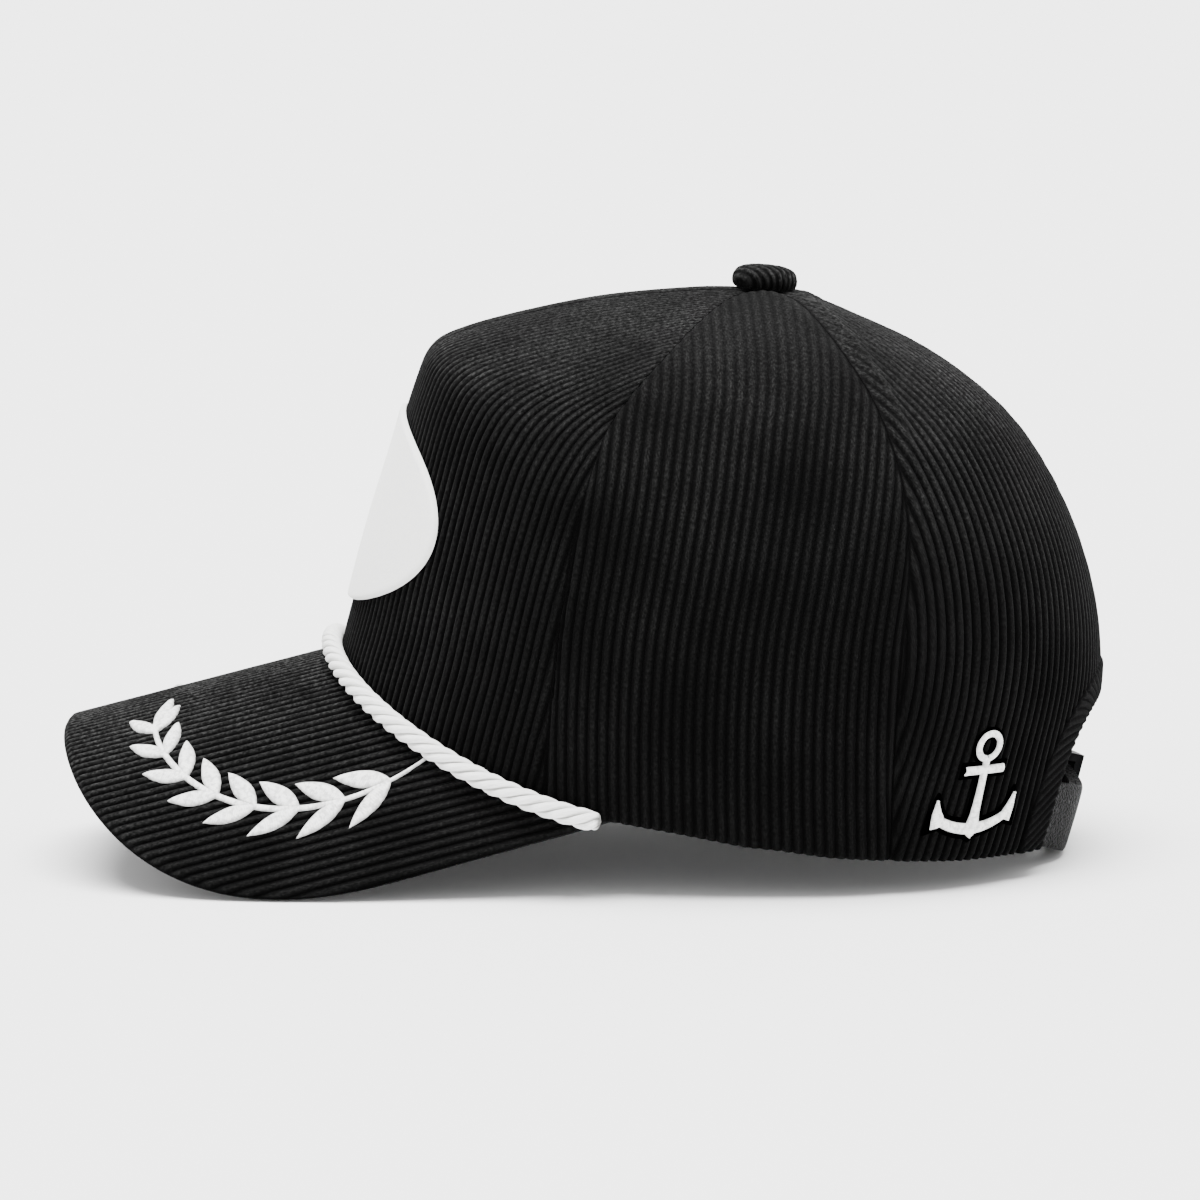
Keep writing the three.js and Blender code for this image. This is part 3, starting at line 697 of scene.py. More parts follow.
def ribbedPiece(name, face, wall, seed, mirror=False):
    # the panel as a walled piece, with its ribs raised, its seams drawn in and its cloth a little uneven
    x, y, z = np.moveaxis(face["points"], -1, 0)
    upward = np.clip(face["normals"][..., 2], 0, 1)
    worn = ease(face["level"], 5.5, 9.5) * ribs["topFade"]
    soft = ribs["softSeam"] * ease(face["level"], 5, 8)
    edge = np.minimum(face["left"] + soft * face["softLeft"], face["right"] + soft * face["softRight"])
    uneven = 1 + ribs["unevenness"] * unevenRibs(face["number"], face["fromRim"], seed)
    lift = face["lifts"] * uneven * ease(edge, 0, ribs["seamWidth"] * 0.5) * (1 - worn)
    lift = lift - ribs["seamDrop"] * (1 - ease(edge, 0, ribs["seamWidth"])) * (1 - 0.45 * worn)
    lift = lift - ribs["rimDrop"] * (1 - ease(face["fromRim"], 0, ribs["rimWidth"]))
    pucker = np.sin(2 * pi * face["fromRim"] / ribs["puckerLength"] + seed)
    pucker = pucker * (0.6 + 0.4 * np.sin(2 * pi * face["fromRim"] / 0.031 + 2 * seed))
    lift = lift + ribs["pucker"] * pucker * np.exp(-edge / 0.004) * ease(edge, 0, 0.002)
    swells = clothSwells(x, y, z, seed) / 3
    lift = lift + ribs["billow"] * swells * ease(edge, 0, 0.012) * ease(z, 0.045, 0.075)
    lift = lift + face.get("folds", 0)
    # painted shade: dark in the grooves (less where the top is worn flat), a dark line along each seam, and
    # the painted shade of the stitched line on the front
    recessShade = mix(face["recessShades"], 0.75, worn) * ease(edge, 0.0, 0.0006) * face.get("shade", 1)
    # painted highlight along the ridge on the back panels
    recessShade = np.maximum(recessShade, face.get("light", 0))
    # painted light from above, from how far the cloth faces up, less of it on the side panels
    topLight = np.clip(upward * face.get("dim", 1) + 0.12 * swells, 0, 1)
    cloth = np.stack([np.broadcast_to(face["across"], lift.shape), face["fromRim"], np.zeros(lift.shape)], -1)
    points, normals = face["points"], face["normals"]
    if mirror:
        flip = np.array([-1, 1, 1])
        points, normals = points[:, ::-1] * flip, normals[:, ::-1] * flip
        lift, recessShade, cloth, topLight = lift[:, ::-1], recessShade[:, ::-1], cloth[:, ::-1], topLight[:, ::-1]
    piece = gridPiece(name, points)
    giveWall(piece, wall)
    walled = pointsOf(piece)
    count = points.shape[0] * points.shape[1]
    walled[:count] += (normals * lift[..., None]).reshape(-1, 3)
    setPoints(piece, walled)
    # the inside faces get a flat painted shade and no painted light from above
    inner = np.full(len(walled) - count, ribs["flatClothShade"])
    setValues(piece, "recessShade", np.concatenate([recessShade.ravel(), inner]))
    setValues(piece, "topLight", np.concatenate([topLight.ravel(), inner * 0]))
    setValues(piece, "cloth", np.concatenate([cloth.reshape(-1, 3)] * 2)[:len(walled)])
    return piece


def seamAngle(name, sign=1, nudge=0.0):
    # a seam as an angle at each level, moved a little way into the panel
    def at(level):
        width = np.maximum(columnAt("side", level) * crown["sideReach"], 0.004)
        return sign * np.radians(columnAt(name, level)) + nudge / width
    return at


def middleGrain(level):
    return np.full(np.shape(level), 0.5)


crownPieces = {
    "wall": 0.0017,
    "frontRows": 112,
    "sideRows": 104,
    "backRows": 104,
    "seamGap": 0.00003,
    "frontPitch": 0.00246,
    "sidePitch": 0.00278,
    "backPitch": 0.0028,
    "foldDepth": 0.0007,
    "ridge": 0.0007,
    "topStitch": 0.006,
    "stitchDepth": 0.0007,
    "middleGap": 0.0004,
    "grainLean": 0.13,
}


def backFloor(angle, point):
    return np.maximum(rimHeightAt(angle, point), archTopAt(point))


def backMiddle(level):
    return np.full(np.shape(level), pi - crownPieces["middleGap"])


def backGrain(level):
    # the grain leans towards the seam low down
    return 0.5 - crownPieces["grainLean"] * (1 - ease(level, 0, 4.5))


def makeCrown():
    gap = crownPieces["seamGap"]
    front = panelFace(seamAngle("frontSeam", -1, gap), seamAngle("frontSeam", 1, -gap), middleGrain,
                      rimHeightAt, crownPieces["frontRows"], crownPieces["frontPitch"])
    # two rows of stitches pull a line in beside the middle, from the fold to the button
    fromLine = np.abs(np.abs(front["points"][..., 0]) - crownPieces["topStitch"])
    onTop = ease(front["level"], 5.9, 6.5)
    front["folds"] = -crownPieces["stitchDepth"] * onTop * (1 - ease(fromLine, 0.0003, 0.0018))
    front["shade"] = 1 - 0.95 * onTop * (1 - ease(fromLine, 0.0006, 0.0015))
    front["softLeft"] = front["softRight"] = 1
    piece = ribbedPiece("front_panel_cloth", front, crownPieces["wall"], 3)
    smoothPiece(piece)
    finishPiece(piece, corduroy, "corduroy", "front_panel")
    print("front panel", len(piece.data.vertices))
    side = panelFace(seamAngle("frontSeam", 1, gap), seamAngle("backSeam", 1, -gap), middleGrain,
                     rimHeightAt, crownPieces["sideRows"], crownPieces["sidePitch"])
    back = panelFace(seamAngle("backSeam", 1, gap), backMiddle, backGrain,
                     backFloor, crownPieces["backRows"], crownPieces["backPitch"])
    # a ridge behind the seam, where its turned edge lies, and a soft fold down the back
    near = back["points"]
    ridge = np.exp(-(((back["left"] - 0.0052) / 0.0017) ** 2)) * ease(back["level"], 4.5, 8)
    fold = np.exp(-(((near[..., 1] - 0.1015) / 0.0035) ** 2))
    fold = fold * ease(near[..., 2], 0.045, 0.06) * (1 - ease(near[..., 2], 0.078, 0.1))
    back["folds"] = crownPieces["ridge"] * ridge - crownPieces["foldDepth"] * fold
    # painted highlight along the ridge, where light from above would catch it
    back["light"] = 0.95 * ridge ** 2
    sideRidge = np.exp(-(((side["right"] - 0.0045) / 0.0016) ** 2)) * ease(side["level"], 5, 8)
    side["folds"] = 0.5 * crownPieces["ridge"] * sideRidge
    # less painted light from above on the side panels
    side["dim"] = 0.56
    side["softLeft"] = 1
    for label, mirror in (("left", False), ("right", True)):
        piece = ribbedPiece("side_panel_%s_cloth" % label, side, crownPieces["wall"], 5, mirror)
        smoothPiece(piece)
        finishPiece(piece, corduroy, "corduroy", "side_panel_" + label)
        piece = ribbedPiece("back_panel_%s_cloth" % label, back, crownPieces["wall"], 7, mirror)
        smoothPiece(piece)
        finishPiece(piece, corduroy, "corduroy", "back_panel_" + label)
    print("side and back panels")


makeCrown()

seamTape = {
    "width": 0.0105,
    "depth": 0.00182,
    "thickness": 0.0004,
    "rows": 90,
    "columns": 7,
    "topLevel": 11.3,
    "rimClearance": 0.002,
}


def makeSeamTapes():
    # tapes that cover the seams inside the crown
    depth, topLevel = seamTape["depth"], seamTape["topLevel"]
    level = np.linspace(0.25, topLevel, seamTape["rows"])[:, None]
    climb = np.linspace(0, 1, seamTape["rows"])[:, None]
    across = np.linspace(-0.5, 0.5, seamTape["columns"])[None, :] * seamTape["width"]
    tapes = []
    for name, sign in (("frontSeam", 1), ("frontSeam", -1), ("backSeam", 1), ("backSeam", -1), ("middle", 1)):
        middle = np.full(level.shape, pi) if name == "middle" else sign * np.radians(columnAt(name, level))
        fromAxis = crownOuter(level, middle) - np.array([0, buttonAxis, 0])
        angle = middle + across / np.maximum(np.hypot(fromAxis[..., 0], fromAxis[..., 1]), 0.008)
        if name == "middle":
            start = levelWhere(angle[0], depth, lambda point: arch["height"])
        else:
            clearance = seamTape["rimClearance"]
            start = levelWhere(angle[0], depth, lambda point: rimHeightAt(angle[0], point) + clearance)
        place = start + (topLevel - start) * climb
        tape = gridPiece("tape", crownPoint(place, angle, depth))
        cloth = np.stack(np.broadcast_arrays(across, climb * 0.2, 0 * climb), -1)
        setValues(tape, "cloth", cloth.reshape(-1, 3))
        giveWall(tape, seamTape["thickness"])
        tapes.append(tape)
    piece = joinPieces("seam_tapes", tapes)
    smoothPiece(piece, 50)
    finishPiece(piece, twill, "band_cloth")
    print("seam tapes")


makeSeamTapes()

peakCloth = {"pitch": 0.0025, "rows": 64, "edgeDrop": 0.0011, "edgeWidth": 0.0018, "seatDepth": 0.0018}


def peakBackEdge(bend):
    # how far back the peak reaches at a bend: its seat under the crown, then its free end and side
    cornerAngle = radians(peak["cornerAngle"] - 0.5)
    angles = np.linspace(0, cornerAngle, 160)
    depth = peakCloth["seatDepth"]
    seat = levelWhere(angles, depth, lambda point: peakTopAt(point[..., 0], point[..., 1], 0))
    inner = crownPoint(seat, angles, depth)
    innerBend = np.arcsin(np.clip(inner[:, 0] / peakHalfSpan, 0, 0.97))
    cornerBend = mix(innerBend[-1], peak["bend"], 0.6)
    bends = np.concatenate([innerBend, [cornerBend, peak["bend"]]])
    places = np.concatenate([inner[:, 1], [inner[-1, 1], peakWidestY]])
    return np.interp(np.abs(bend), bends, places)


def makePeak():
    bendRadius = (peakHalfSpan + peak["arch"]) / 2
    widest = bendRadius * peak["bend"] * 0.9995
    across, lifts, recessShades, number = ribColumns(-widest, widest, peakCloth["pitch"])
    across = np.concatenate([[-widest], across, [widest]])
    lifts = np.concatenate([[0], lifts, [0]])
    recessShades = np.concatenate([[ribs["flatClothShade"]], recessShades, [ribs["flatClothShade"]]])
    number = np.concatenate([[number[0]], number, [number[-1]]])
    bend = across / bendRadius
    front = peakFrontEdge(bend)
    back = peakBackEdge(bend)
    share = np.linspace(0, 1, peakCloth["rows"])[:, None]
    y = mix(front, back, share**1.15)
    bends = np.broadcast_to(bend, y.shape)
    points = peakPoint(bends, y, 0)
    normals = points - peakPoint(bends, y, 1)
    frontSlope = np.gradient(front, across)
    frontEdge = (y - front) / np.sqrt(1 + frontSlope**2)
    sideEdge = (widest - np.abs(across)) + np.maximum(peakWidestY - y, 0) * 0.3
    edge = np.minimum(frontEdge, np.broadcast_to(sideEdge, y.shape))
    fullness = ease(edge, 0, peakCloth["edgeWidth"]) ** 0.6
    uneven = 1 + ribs["unevenness"] * unevenRibs(number, y - front, 11)
    ribLift = lifts * uneven * ease(edge, 0, 0.0009)
    drop = peakCloth["edgeDrop"] * (1 - fullness)
    # the board's top and underside, both ribbed and rounded towards their edge
    piece = gridPiece("peak_cloth", points)
    giveWall(piece, peak["thickness"])
    walled = pointsOf(piece)
    count = y.size
    walled[:count] += (normals * (ribLift - drop)[..., None]).reshape(-1, 3)
    walled[count:2 * count] += (normals * (drop - ribLift * 0.6)[..., None]).reshape(-1, 3)
    setPoints(piece, walled)
    # painted shade in the grooves and a thin dark line along the peak's edge; the underside gets the same
    recessShade = (recessShades * ease(edge, 0, 0.0006)).ravel()
    # painted light from above on the peak's upward-facing top; the underside gets none
    upward = np.clip(normals[..., 2], 0, 1).ravel() ** 1.5
    cloth = np.stack([np.broadcast_to(across, y.shape), y, np.zeros(y.shape)], -1).reshape(-1, 3)
    setValues(piece, "recessShade", np.concatenate([recessShade, recessShade])[:len(walled)])
    setValues(piece, "topLight", np.concatenate([upward, upward * 0])[:len(walled)])
    setValues(piece, "cloth", np.concatenate([cloth, cloth])[:len(walled)])
    mergeDoubles(piece, 0.000002)
    smoothPiece(piece)
    finishPiece(piece, corduroy, "corduroy", "peak")
    print("peak", len(piece.data.vertices))


makePeak()

rope = {
    "diameter": 0.0056,
    "lay": 0.0205,
    "strands": 4,
    "strandShare": 0.46,
    "reach": 0.975,
    "routeStops": 241,
    "smoothing": 23,
    "stops": 500,
    "sides": 24,
    "yarns": 6,
    "yarnLays": 4,
    "yarnDepth": 0.1,
    "roundEnd": 0.0026,
    "grainStretch": 0.9554,
}


def ropePath():
    # the cord's middle line, in the crease of crown and peak
    reach = radians(peak["cornerAngle"]) * rope["reach"]
    angle = np.linspace(-reach, reach, rope["routeStops"])
    level = levelWhere(angle, 0, lambda point: rimHeightAt(angle, point), 26)
    seam = crownOuter(level, angle)
    wallNormal = crownNormal(level, angle)
    bend = np.arcsin(np.clip(seam[:, 0] / peakHalfSpan, -0.97, 0.97))
    topNormal = peakPoint(bend, seam[:, 1], 0) - peakPoint(bend, seam[:, 1], 1)
    halfway = wallNormal + topNormal
    halfway /= np.linalg.norm(halfway, axis=1, keepdims=True)
    spread = (rope["diameter"] / 2 + crown["gap"]) / np.sum(halfway * wallNormal, 1)
    path = seam + halfway * spread[:, None]
    window = np.hanning(rope["smoothing"])
    window /= window.sum()
    margin = rope["smoothing"] // 2
    padded = np.concatenate([np.repeat(path[:1], margin, 0), path, np.repeat(path[-1:], margin, 0)])
    smoothed = np.stack([np.convolve(padded[:, axis], window, "valid") for axis in range(3)], 1)
    stops = np.arange(len(path))
    fromEnds = ease(np.minimum(stops, stops[::-1]), 0, 16)[:, None]
    return mix(path, smoothed, fromEnds)


def evenly(path, count):
    # the same line with its points at even distances
    strides = np.linalg.norm(np.diff(path, axis=0), axis=1)
    along = np.concatenate([[0], np.cumsum(strides)])
    places = np.linspace(0, along[-1], count)
    return np.stack([np.interp(places, along, path[:, axis]) for axis in range(3)], 1), places


def framesAlong(path, hint):
    # two directions square to the line at each of its points
    forward = np.gradient(path, axis=0)
    forward /= np.linalg.norm(forward, axis=1, keepdims=True)
    side = np.cross(forward, hint)
    side /= np.linalg.norm(side, axis=1, keepdims=True)
    return side, np.cross(side, forward)


def makeRope():
    path, along = evenly(ropePath(), rope["stops"])
    side, up = framesAlong(path, np.array([0.0, 0.0, 1.0]))
    radius = rope["diameter"] / 2
    strandRadius = radius * rope["strandShare"]
    orbit = radius - strandRadius
    fromEnd = np.minimum(along, along[-1] - along)
    taper = np.sqrt(np.clip(1 - (1 - np.clip(fromEnd / rope["roundEnd"], 0, 1)) ** 2, 0.0004, 1))
    around = np.linspace(0, 2 * pi, rope["sides"] + 1)
    laid = along / rope["lay"]
    ridges = np.abs(np.sin(rope["yarns"] / 2 * (around[None, :] - laid[:, None] * rope["yarnLays"])))
    size = strandRadius * taper[:, None] * (1 - rope["yarnDepth"] * (1 - ridges))
    strands = []
    for strand in range(rope["strands"]):
        turn = 2 * pi * (strand / rope["strands"] + laid)
        middle = path + (side * np.cos(turn)[:, None] + up * np.sin(turn)[:, None]) * (orbit * taper)[:, None]
        twist = turn[:, None] * 0.4 + around[None, :]
        points = middle[:, None] + side[:, None] * (np.cos(twist) * size)[..., None]
        points = points + up[:, None] * (np.sin(twist) * size)[..., None]
        away = np.linalg.norm(points - path[:, None], axis=-1) / radius
        piece = gridPiece("strand", points)
        # painted shade: darker towards the rope's core and between the yarns
        setValues(piece, "recessShade", (ease(away, 0.5, 0.95) * mix(0.55, 1, ridges)).ravel())
        wrap = twist * strandRadius * rope["grainStretch"]
        cloth = np.stack(np.broadcast_arrays(along[:, None], wrap, 0.0), -1)
        setValues(piece, "cloth", cloth.reshape(-1, 3))
        strands.append(piece)
    piece = joinPieces("rope_strands", strands)
    mergeDoubles(piece, 0.00002)
    closeEnds(faceOutwards=True)
    smoothPiece(piece, 60)
    finishPiece(piece, ropeCotton, "rope_cord", "rope")
    print("rope", round(float(along[-1]), 4))


makeRope()

button = {
    "diameter": 0.0174,
    "height": 0.0064,
    "seat": 0.0004,
    "lean": 0.75,
    "rings": 34,
    "sectors": 150,
    "pitch": 0.0021,
    "ribShare": 0.55,
    "profilePlaces": (0, 0.1, 0.22, 0.36, 0.5, 0.66, 0.84, 1),
    "profileOuts": (0.8, 0.93, 0.99, 1, 0.95, 0.8, 0.46, 0),
    "profileUps": (-0.04, 0.04, 0.2, 0.42, 0.66, 0.86, 0.98, 1),
}


def makeButton():
    # a covered button: its dome turned on the crown's top, its ribs straight across
    shares = np.linspace(0, 1, button["rings"])
    outs = np.interp(shares, button["profilePlaces"], button["profileOuts"])
    ups = np.interp(shares, button["profilePlaces"], button["profileUps"])
    kernel = np.array([1, 2, 3, 2, 1]) / 9
    for values in (outs, ups):
        values[2:-2] = np.convolve(values, kernel, "valid")
    around = np.linspace(0, 2 * pi, button["sectors"] + 1)
    radius = button["diameter"] / 2
    x = outs[:, None] * radius * np.cos(around)
    y = outs[:, None] * radius * np.sin(around)
    z = np.broadcast_to((ups * button["height"])[:, None], x.shape)
    across = (y - button["lean"] * x) / np.hypot(1, button["lean"])
    down = 1 - ups[:, None]
    across = across * (1 + 0.35 * down)
    lift, recessShade = ribProfile(across / button["pitch"] + 0.3)
    lift = lift * button["ribShare"] * ease(down, 1.02, 0.8)
    points = np.stack([x, y, z], -1)
    ringSteps = np.gradient(points, axis=0)
    aroundSteps = np.gradient(points, axis=1)
    normals = np.cross(aroundSteps, ringSteps)
    length = np.linalg.norm(normals, axis=-1, keepdims=True)
    normals = np.where(length > 1e-12, normals / np.maximum(length, 1e-12), np.array([0, 0, 1]))
    points = points + normals * lift[..., None]
    points[:, -1] = points[:, 0]
    points[-1] = points[-1].mean(0)
    ahead, behind = crownOuter(11.3, 0.0), crownOuter(11.3, pi)
    lean = -atan2(ahead[2] - behind[2], behind[1] - ahead[1])
    seat = mix(ahead[2], behind[2], (buttonAxis - ahead[1]) / (behind[1] - ahead[1]))
    turned = points.copy()
    turned[..., 1] = points[..., 1] * cos(lean) - points[..., 2] * sin(lean) + buttonAxis
    turned[..., 2] = points[..., 1] * sin(lean) + points[..., 2] * cos(lean) + seat + button["seat"]
    piece = gridPiece("button_cover", turned)
    # painted shade in the grooves between the button's ribs
    setValues(piece, "recessShade", recessShade.ravel())
    # painted light from above: the dome's top lighter, its lower sides darker
    setValues(piece, "topLight", (0.3 + 0.7 * ease(normals[..., 2], -0.3, 0.6)).ravel())
    cloth = np.stack([across, x, np.zeros(x.shape)], -1)
    setValues(piece, "cloth", cloth.reshape(-1, 3))
    mergeDoubles(piece, 0.000003)
    closeEnds()
    smoothPiece(piece)
    finishPiece(piece, corduroy, "corduroy", "button")
    print("button")


makeButton()

patch = {
    "width": 0.108,
    "height": 0.054,
    "middleShare": 0.628,
    "lift": 0.0019,
    "wall": 0.0014,
    "edgeInsets": (0, 0.00012, 0.0004, 0.001),
    "edgeLifts": (0.0005, 0.0013, 0.00175),
    "rings": 26,
    "sectors": 200,
}


def makePatch():
    # an oval laid on the front as on a cone, with its edge turned down to the cloth
    below, above = crownOuter(4, 0.0), crownOuter(5, 0.0)
    lean = atan2(above[1] - below[1], above[2] - below[2])
    cone = crown["sideReach"] / sin(lean)
    rings = 1 - np.linspace(0, 1, patch["rings"]) ** 1.6
    around = np.linspace(0, 2 * pi, patch["sectors"] + 1)
    across = rings[:, None] * np.cos(around) * patch["width"] / 2
    up = rings[:, None] * np.sin(around) * patch["height"] / 2 * cos(lean) - across**2 / (2 * cone)
    inset = (1 - rings) * patch["height"] / 2
    lift = np.interp(inset, patch["edgeInsets"], (*patch["edgeLifts"], patch["lift"]))
    height = crown["height"] * patch["middleShare"] + up
    points = crownSpot(0.0, across, height, lift[:, None])
    points[:, -1] = points[:, 0]
    piece = gridPiece("front_patch_cloth", points)
    mergeDoubles(piece)
    giveWall(piece, patch["wall"])
    smoothPiece(piece, 50)
    finishPiece(piece, patchCloth, "patch_cloth", "front_patch")
    print("patch")


makePatch()

laurel = {
    "centreOut": 0.284,
    "centreBack": 0.012,
    "radius": 0.0498,
    "leafLength": 0.0155,
    "leafWidth": 0.005,
    "stemWidth": 0.0016,
    "stemHeight": 0.0008,
    "stemFrom": 30.5,
    "stemTo": -85,
    "firstJoint": 17,
    "lastJoint": -80,
    "tipTo": -103,
    "pairs": 8,
    "lastSize": 0.86,
    "splay": 0.53,
    "height": 0.00105,
    "thread": 0.00062,
    "backing": 0.0005,
}


def satin(u, v, length, height):
    # the relief of satin stitches: domed, parted in the middle, with slanting threads; the second value
    # darkens the low edges and the parting as painted shade and marks the threads
    dome = np.sqrt(np.clip(1 - v**2, 0, 1)) ** 0.9
    parting = 0.22 * np.exp(-((v / 0.12) ** 2))
    threads = 0.06 * np.sin(2 * pi * (u * length / laurel["thread"] + 2.2 * np.abs(v)))
    relief = dome * (1 + threads) - parting * np.sin(pi * u)
    return height * relief + 0.0001, np.clip(relief + 2 * threads * dome, 0, 1)


def leafShape(start, tip, width, columns=80, rows=9):
    along = tip - start
    length = np.hypot(*along)
    side = np.array([-along[1], along[0]]) / length
    u = np.broadcast_to(np.linspace(0, 1, columns), (rows, columns))
    v = np.broadcast_to(np.sin(np.linspace(-pi / 2, pi / 2, rows))[:, None], (rows, columns))
    swell = np.sin(pi * np.clip(u, 0, 1) ** 0.88) ** 0.95
    spot = start + along * u[..., None] + side * (v * swell * width / 2)[..., None]
    lift, recessShade = satin(u, v, length, laurel["height"])
    return spot, lift * ease(swell, -0.2, 0.5), recessShade


def barShape(line, widths, height, columns=80, rows=9):
    # a stitched bar along a line of plan points, with its width given along the line
    line = np.asarray(line, float)
    strides = np.hypot(*np.diff(line, axis=0).T)
    along = np.concatenate([[0], np.cumsum(strides)])
    places = np.linspace(0, along[-1], columns)
    centre = np.stack([np.interp(places, along, line[:, 0]), np.interp(places, along, line[:, 1])], 1)
    forward = np.gradient(centre, axis=0)
    forward /= np.linalg.norm(forward, axis=1, keepdims=True)
    side = np.stack([-forward[:, 1], forward[:, 0]], 1)
    half = np.interp(places / along[-1], np.linspace(0, 1, len(widths)), widths) / 2
    v = np.sin(np.linspace(-pi / 2, pi / 2, rows))[:, None]
    spot = centre[None] + side[None] * (v * half)[..., None]
    threads = 1 + 0.07 * np.sin(2 * pi * places / laurel["thread"])
    relief = np.sqrt(np.clip(1 - v**2, 0, 1)) ** 0.8 * threads
    # the last value paints shade at the bar's low edges and marks the threads
    return spot, height * relief + 0.0001, np.clip(relief + threads - 1, 0, 1)


def makeLaurel():
    # a branch laid out on the peak's plan, then bent down onto it; the right one mirrors the left
    centre = np.array([
        laurel["centreOut"] * peakHalfSpan,
        crownFrontY + laurel["centreBack"] * peak["reach"],
    ])

    def onArc(radius, degreesRound):
        return centre + radius * np.array([cos(radians(degreesRound)), sin(radians(degreesRound))])

    radius, length = laurel["radius"], laurel["leafLength"]
    stem = [onArc(radius, turn) for turn in np.linspace(laurel["stemFrom"], laurel["stemTo"], 64)]
    widths = np.array((0.45, 0.8, 1, 1, 1, 1, 0.8)) * laurel["stemWidth"]
    shapes = [barShape(stem, widths, laurel["stemHeight"], 260, 7)]
    outerTurn = np.degrees(length / radius) * 0.75
    for pair in range(laurel["pairs"]):
        along = pair / (laurel["pairs"] - 1)
        joint = mix(laurel["firstJoint"], laurel["lastJoint"], along)
        size = mix(1, laurel["lastSize"], along)
        start = onArc(radius, joint)
        spread = laurel["splay"] * length * size
        width = laurel["leafWidth"] * size
        outer = onArc(radius + spread, joint - outerTurn * size)
        inner = onArc(radius - 0.88 * spread, joint - outerTurn * 1.35 * size)
        shapes.append(leafShape(start, outer, width))
        shapes.append(leafShape(start, inner, width))
    tip = onArc(radius * 0.94, laurel["tipTo"])
    shapes.append(leafShape(onArc(radius, laurel["lastJoint"] - 3), tip, laurel["leafWidth"] * 0.8))
    for label, sign in (("left", 1), ("right", -1)):
        pieces = []
        for spot, lift, recessShade in shapes:
            points = peakPoint(sign * spot[..., 0] / peakHalfSpan, spot[..., 1], -lift)
            points = points if sign > 0 else points[:, ::-1]
            leaf = gridPiece("leaf", points)
            setValues(leaf, "recessShade", (recessShade if sign > 0 else recessShade[:, ::-1]).ravel())
            mergeDoubles(leaf, 0.000004)
            giveWall(leaf, laurel["backing"])
            pieces.append(leaf)
        piece = joinPieces("laurel_%s_stitches" % label, pieces)
        smoothPiece(piece, 60)
        finishPiece(piece, whiteThread, "white_thread", "laurel_" + label)
    print("laurels")


makeLaurel()

anchor = {
    "height": 0.028,
    "span": 0.026,
    "lean": 10,
    "angle": 126,
    "middleShare": 0.18,
    "halo": 0.0023,
    "stitchHeight": 0.001,
    "stitchBase": 0.0004,
    "haloHeight": 0.0006,
    "haloBase": 0.0001,
    "backing": 0.0005,
}


def anchorShapes(extra, height):
    # ring, shank, stock, arms and flukes, in the anchor's own plane
    def at(x, y):
        return np.array([x * anchor["span"], y * anchor["height"]])

    stroke = anchor["span"] * 0.1 + extra
    over = extra / 2 / anchor["span"]
    ringTurns = np.radians(np.linspace(-84, 264, 50))
    ring = at(0, 0.375) + anchor["span"] * 0.124 * np.stack([np.cos(ringTurns), np.sin(ringTurns)], 1)
    bowl = np.linspace(-1, 1, 40)
    arms = np.array([at(0.42 * b, -0.39 + 0.11 * np.abs(b) ** 2) for b in bowl])
    shapes = [
        barShape(ring, (stroke * 0.68,), height, 90),
        barShape([at(0, 0.27), at(0, -0.42)], stroke * np.array((0.8, 0.85, 0.9, 1.1, 1.9)), height, 90),
        barShape([at(-0.23 - over, 0.157), at(0.23 + over, 0.157)], (stroke * 0.9,), height, 60),
        barShape(arms, stroke * np.array((0.9, 1.2, 0.9)), height, 110),
    ]
    for sign in (-1, 1):
        fluke = [at(0.4 * sign, -0.34 - over), at(0.445 * sign, -0.22), at(0.47 * sign, -0.09 + 1.4 * over)]
        shapes.append(barShape(fluke, stroke * np.array((1.75, 1.35, 0.75, 0.12)), height, 60))
    foot = [at(0, -0.38), at(0, -0.475 - over)]
    shapes.append(barShape(foot, stroke * np.array((1.8, 1.5, 0.1)), height, 40))
    return shapes


def layAnchor(name, extra, height, base):
    pieces = []
    for spot, lift, recessShade in anchorShapes(extra, height):
        if extra:
            lift = np.minimum(lift * 1.7, height)
        away = spot[..., 0] + spot[..., 1] * np.tan(radians(anchor["lean"]))
        level = crown["height"] * anchor["middleShare"] + spot[..., 1]
        bar = gridPiece("bar", crownSpot(radians(anchor["angle"]), away, level, lift + base))
        setValues(bar, "recessShade", recessShade.ravel())
        mergeDoubles(bar, 0.000004)
        giveWall(bar, anchor["backing"])
        pieces.append(bar)
    piece = joinPieces(name, pieces)
    smoothPiece(piece, 60)
    return piece


def makeAnchor():
    # white stitches on a dark stitched ground
    stitches = layAnchor("anchor_stitches", 0.0, anchor["stitchHeight"], anchor["stitchBase"])
    finishPiece(stitches, whiteThread, "white_thread", "anchor")
    ground = layAnchor("anchor_halo", anchor["halo"], anchor["haloHeight"], anchor["haloBase"])
    finishPiece(ground, blackThread, "corduroy")
    print("anchor")


makeAnchor()

hem = {
    "width": 0.0085,
    "lift": 0.0007,
    "lip": 0.0005,
    "thickness": 0.0004,
    "turnedIn": 0.003,
    "columns": 150,
    "slant": 0.9,
    # a low fixed share of painted light from above for the hem
    "topLight": 0.08,
    "middleGap": 0.0001,
}


def backSpot(x, z, lift):
    # a place on the back of the crown, given as it is seen from behind
    low = np.full(x.shape, pi / 2)
    high = np.full(x.shape, pi)
    for _ in range(16):
        middle = (low + high) / 2
        level = levelWhere(middle, 0, lambda point: z, 14)
        outside = crownOuter(level, middle)[..., 0] > x
        low = np.where(outside, middle, low)
        high = np.where(outside, high, middle)
    level = levelWhere(middle, 0, lambda point: z, 18)
    return crownPoint(level, middle, -lift)


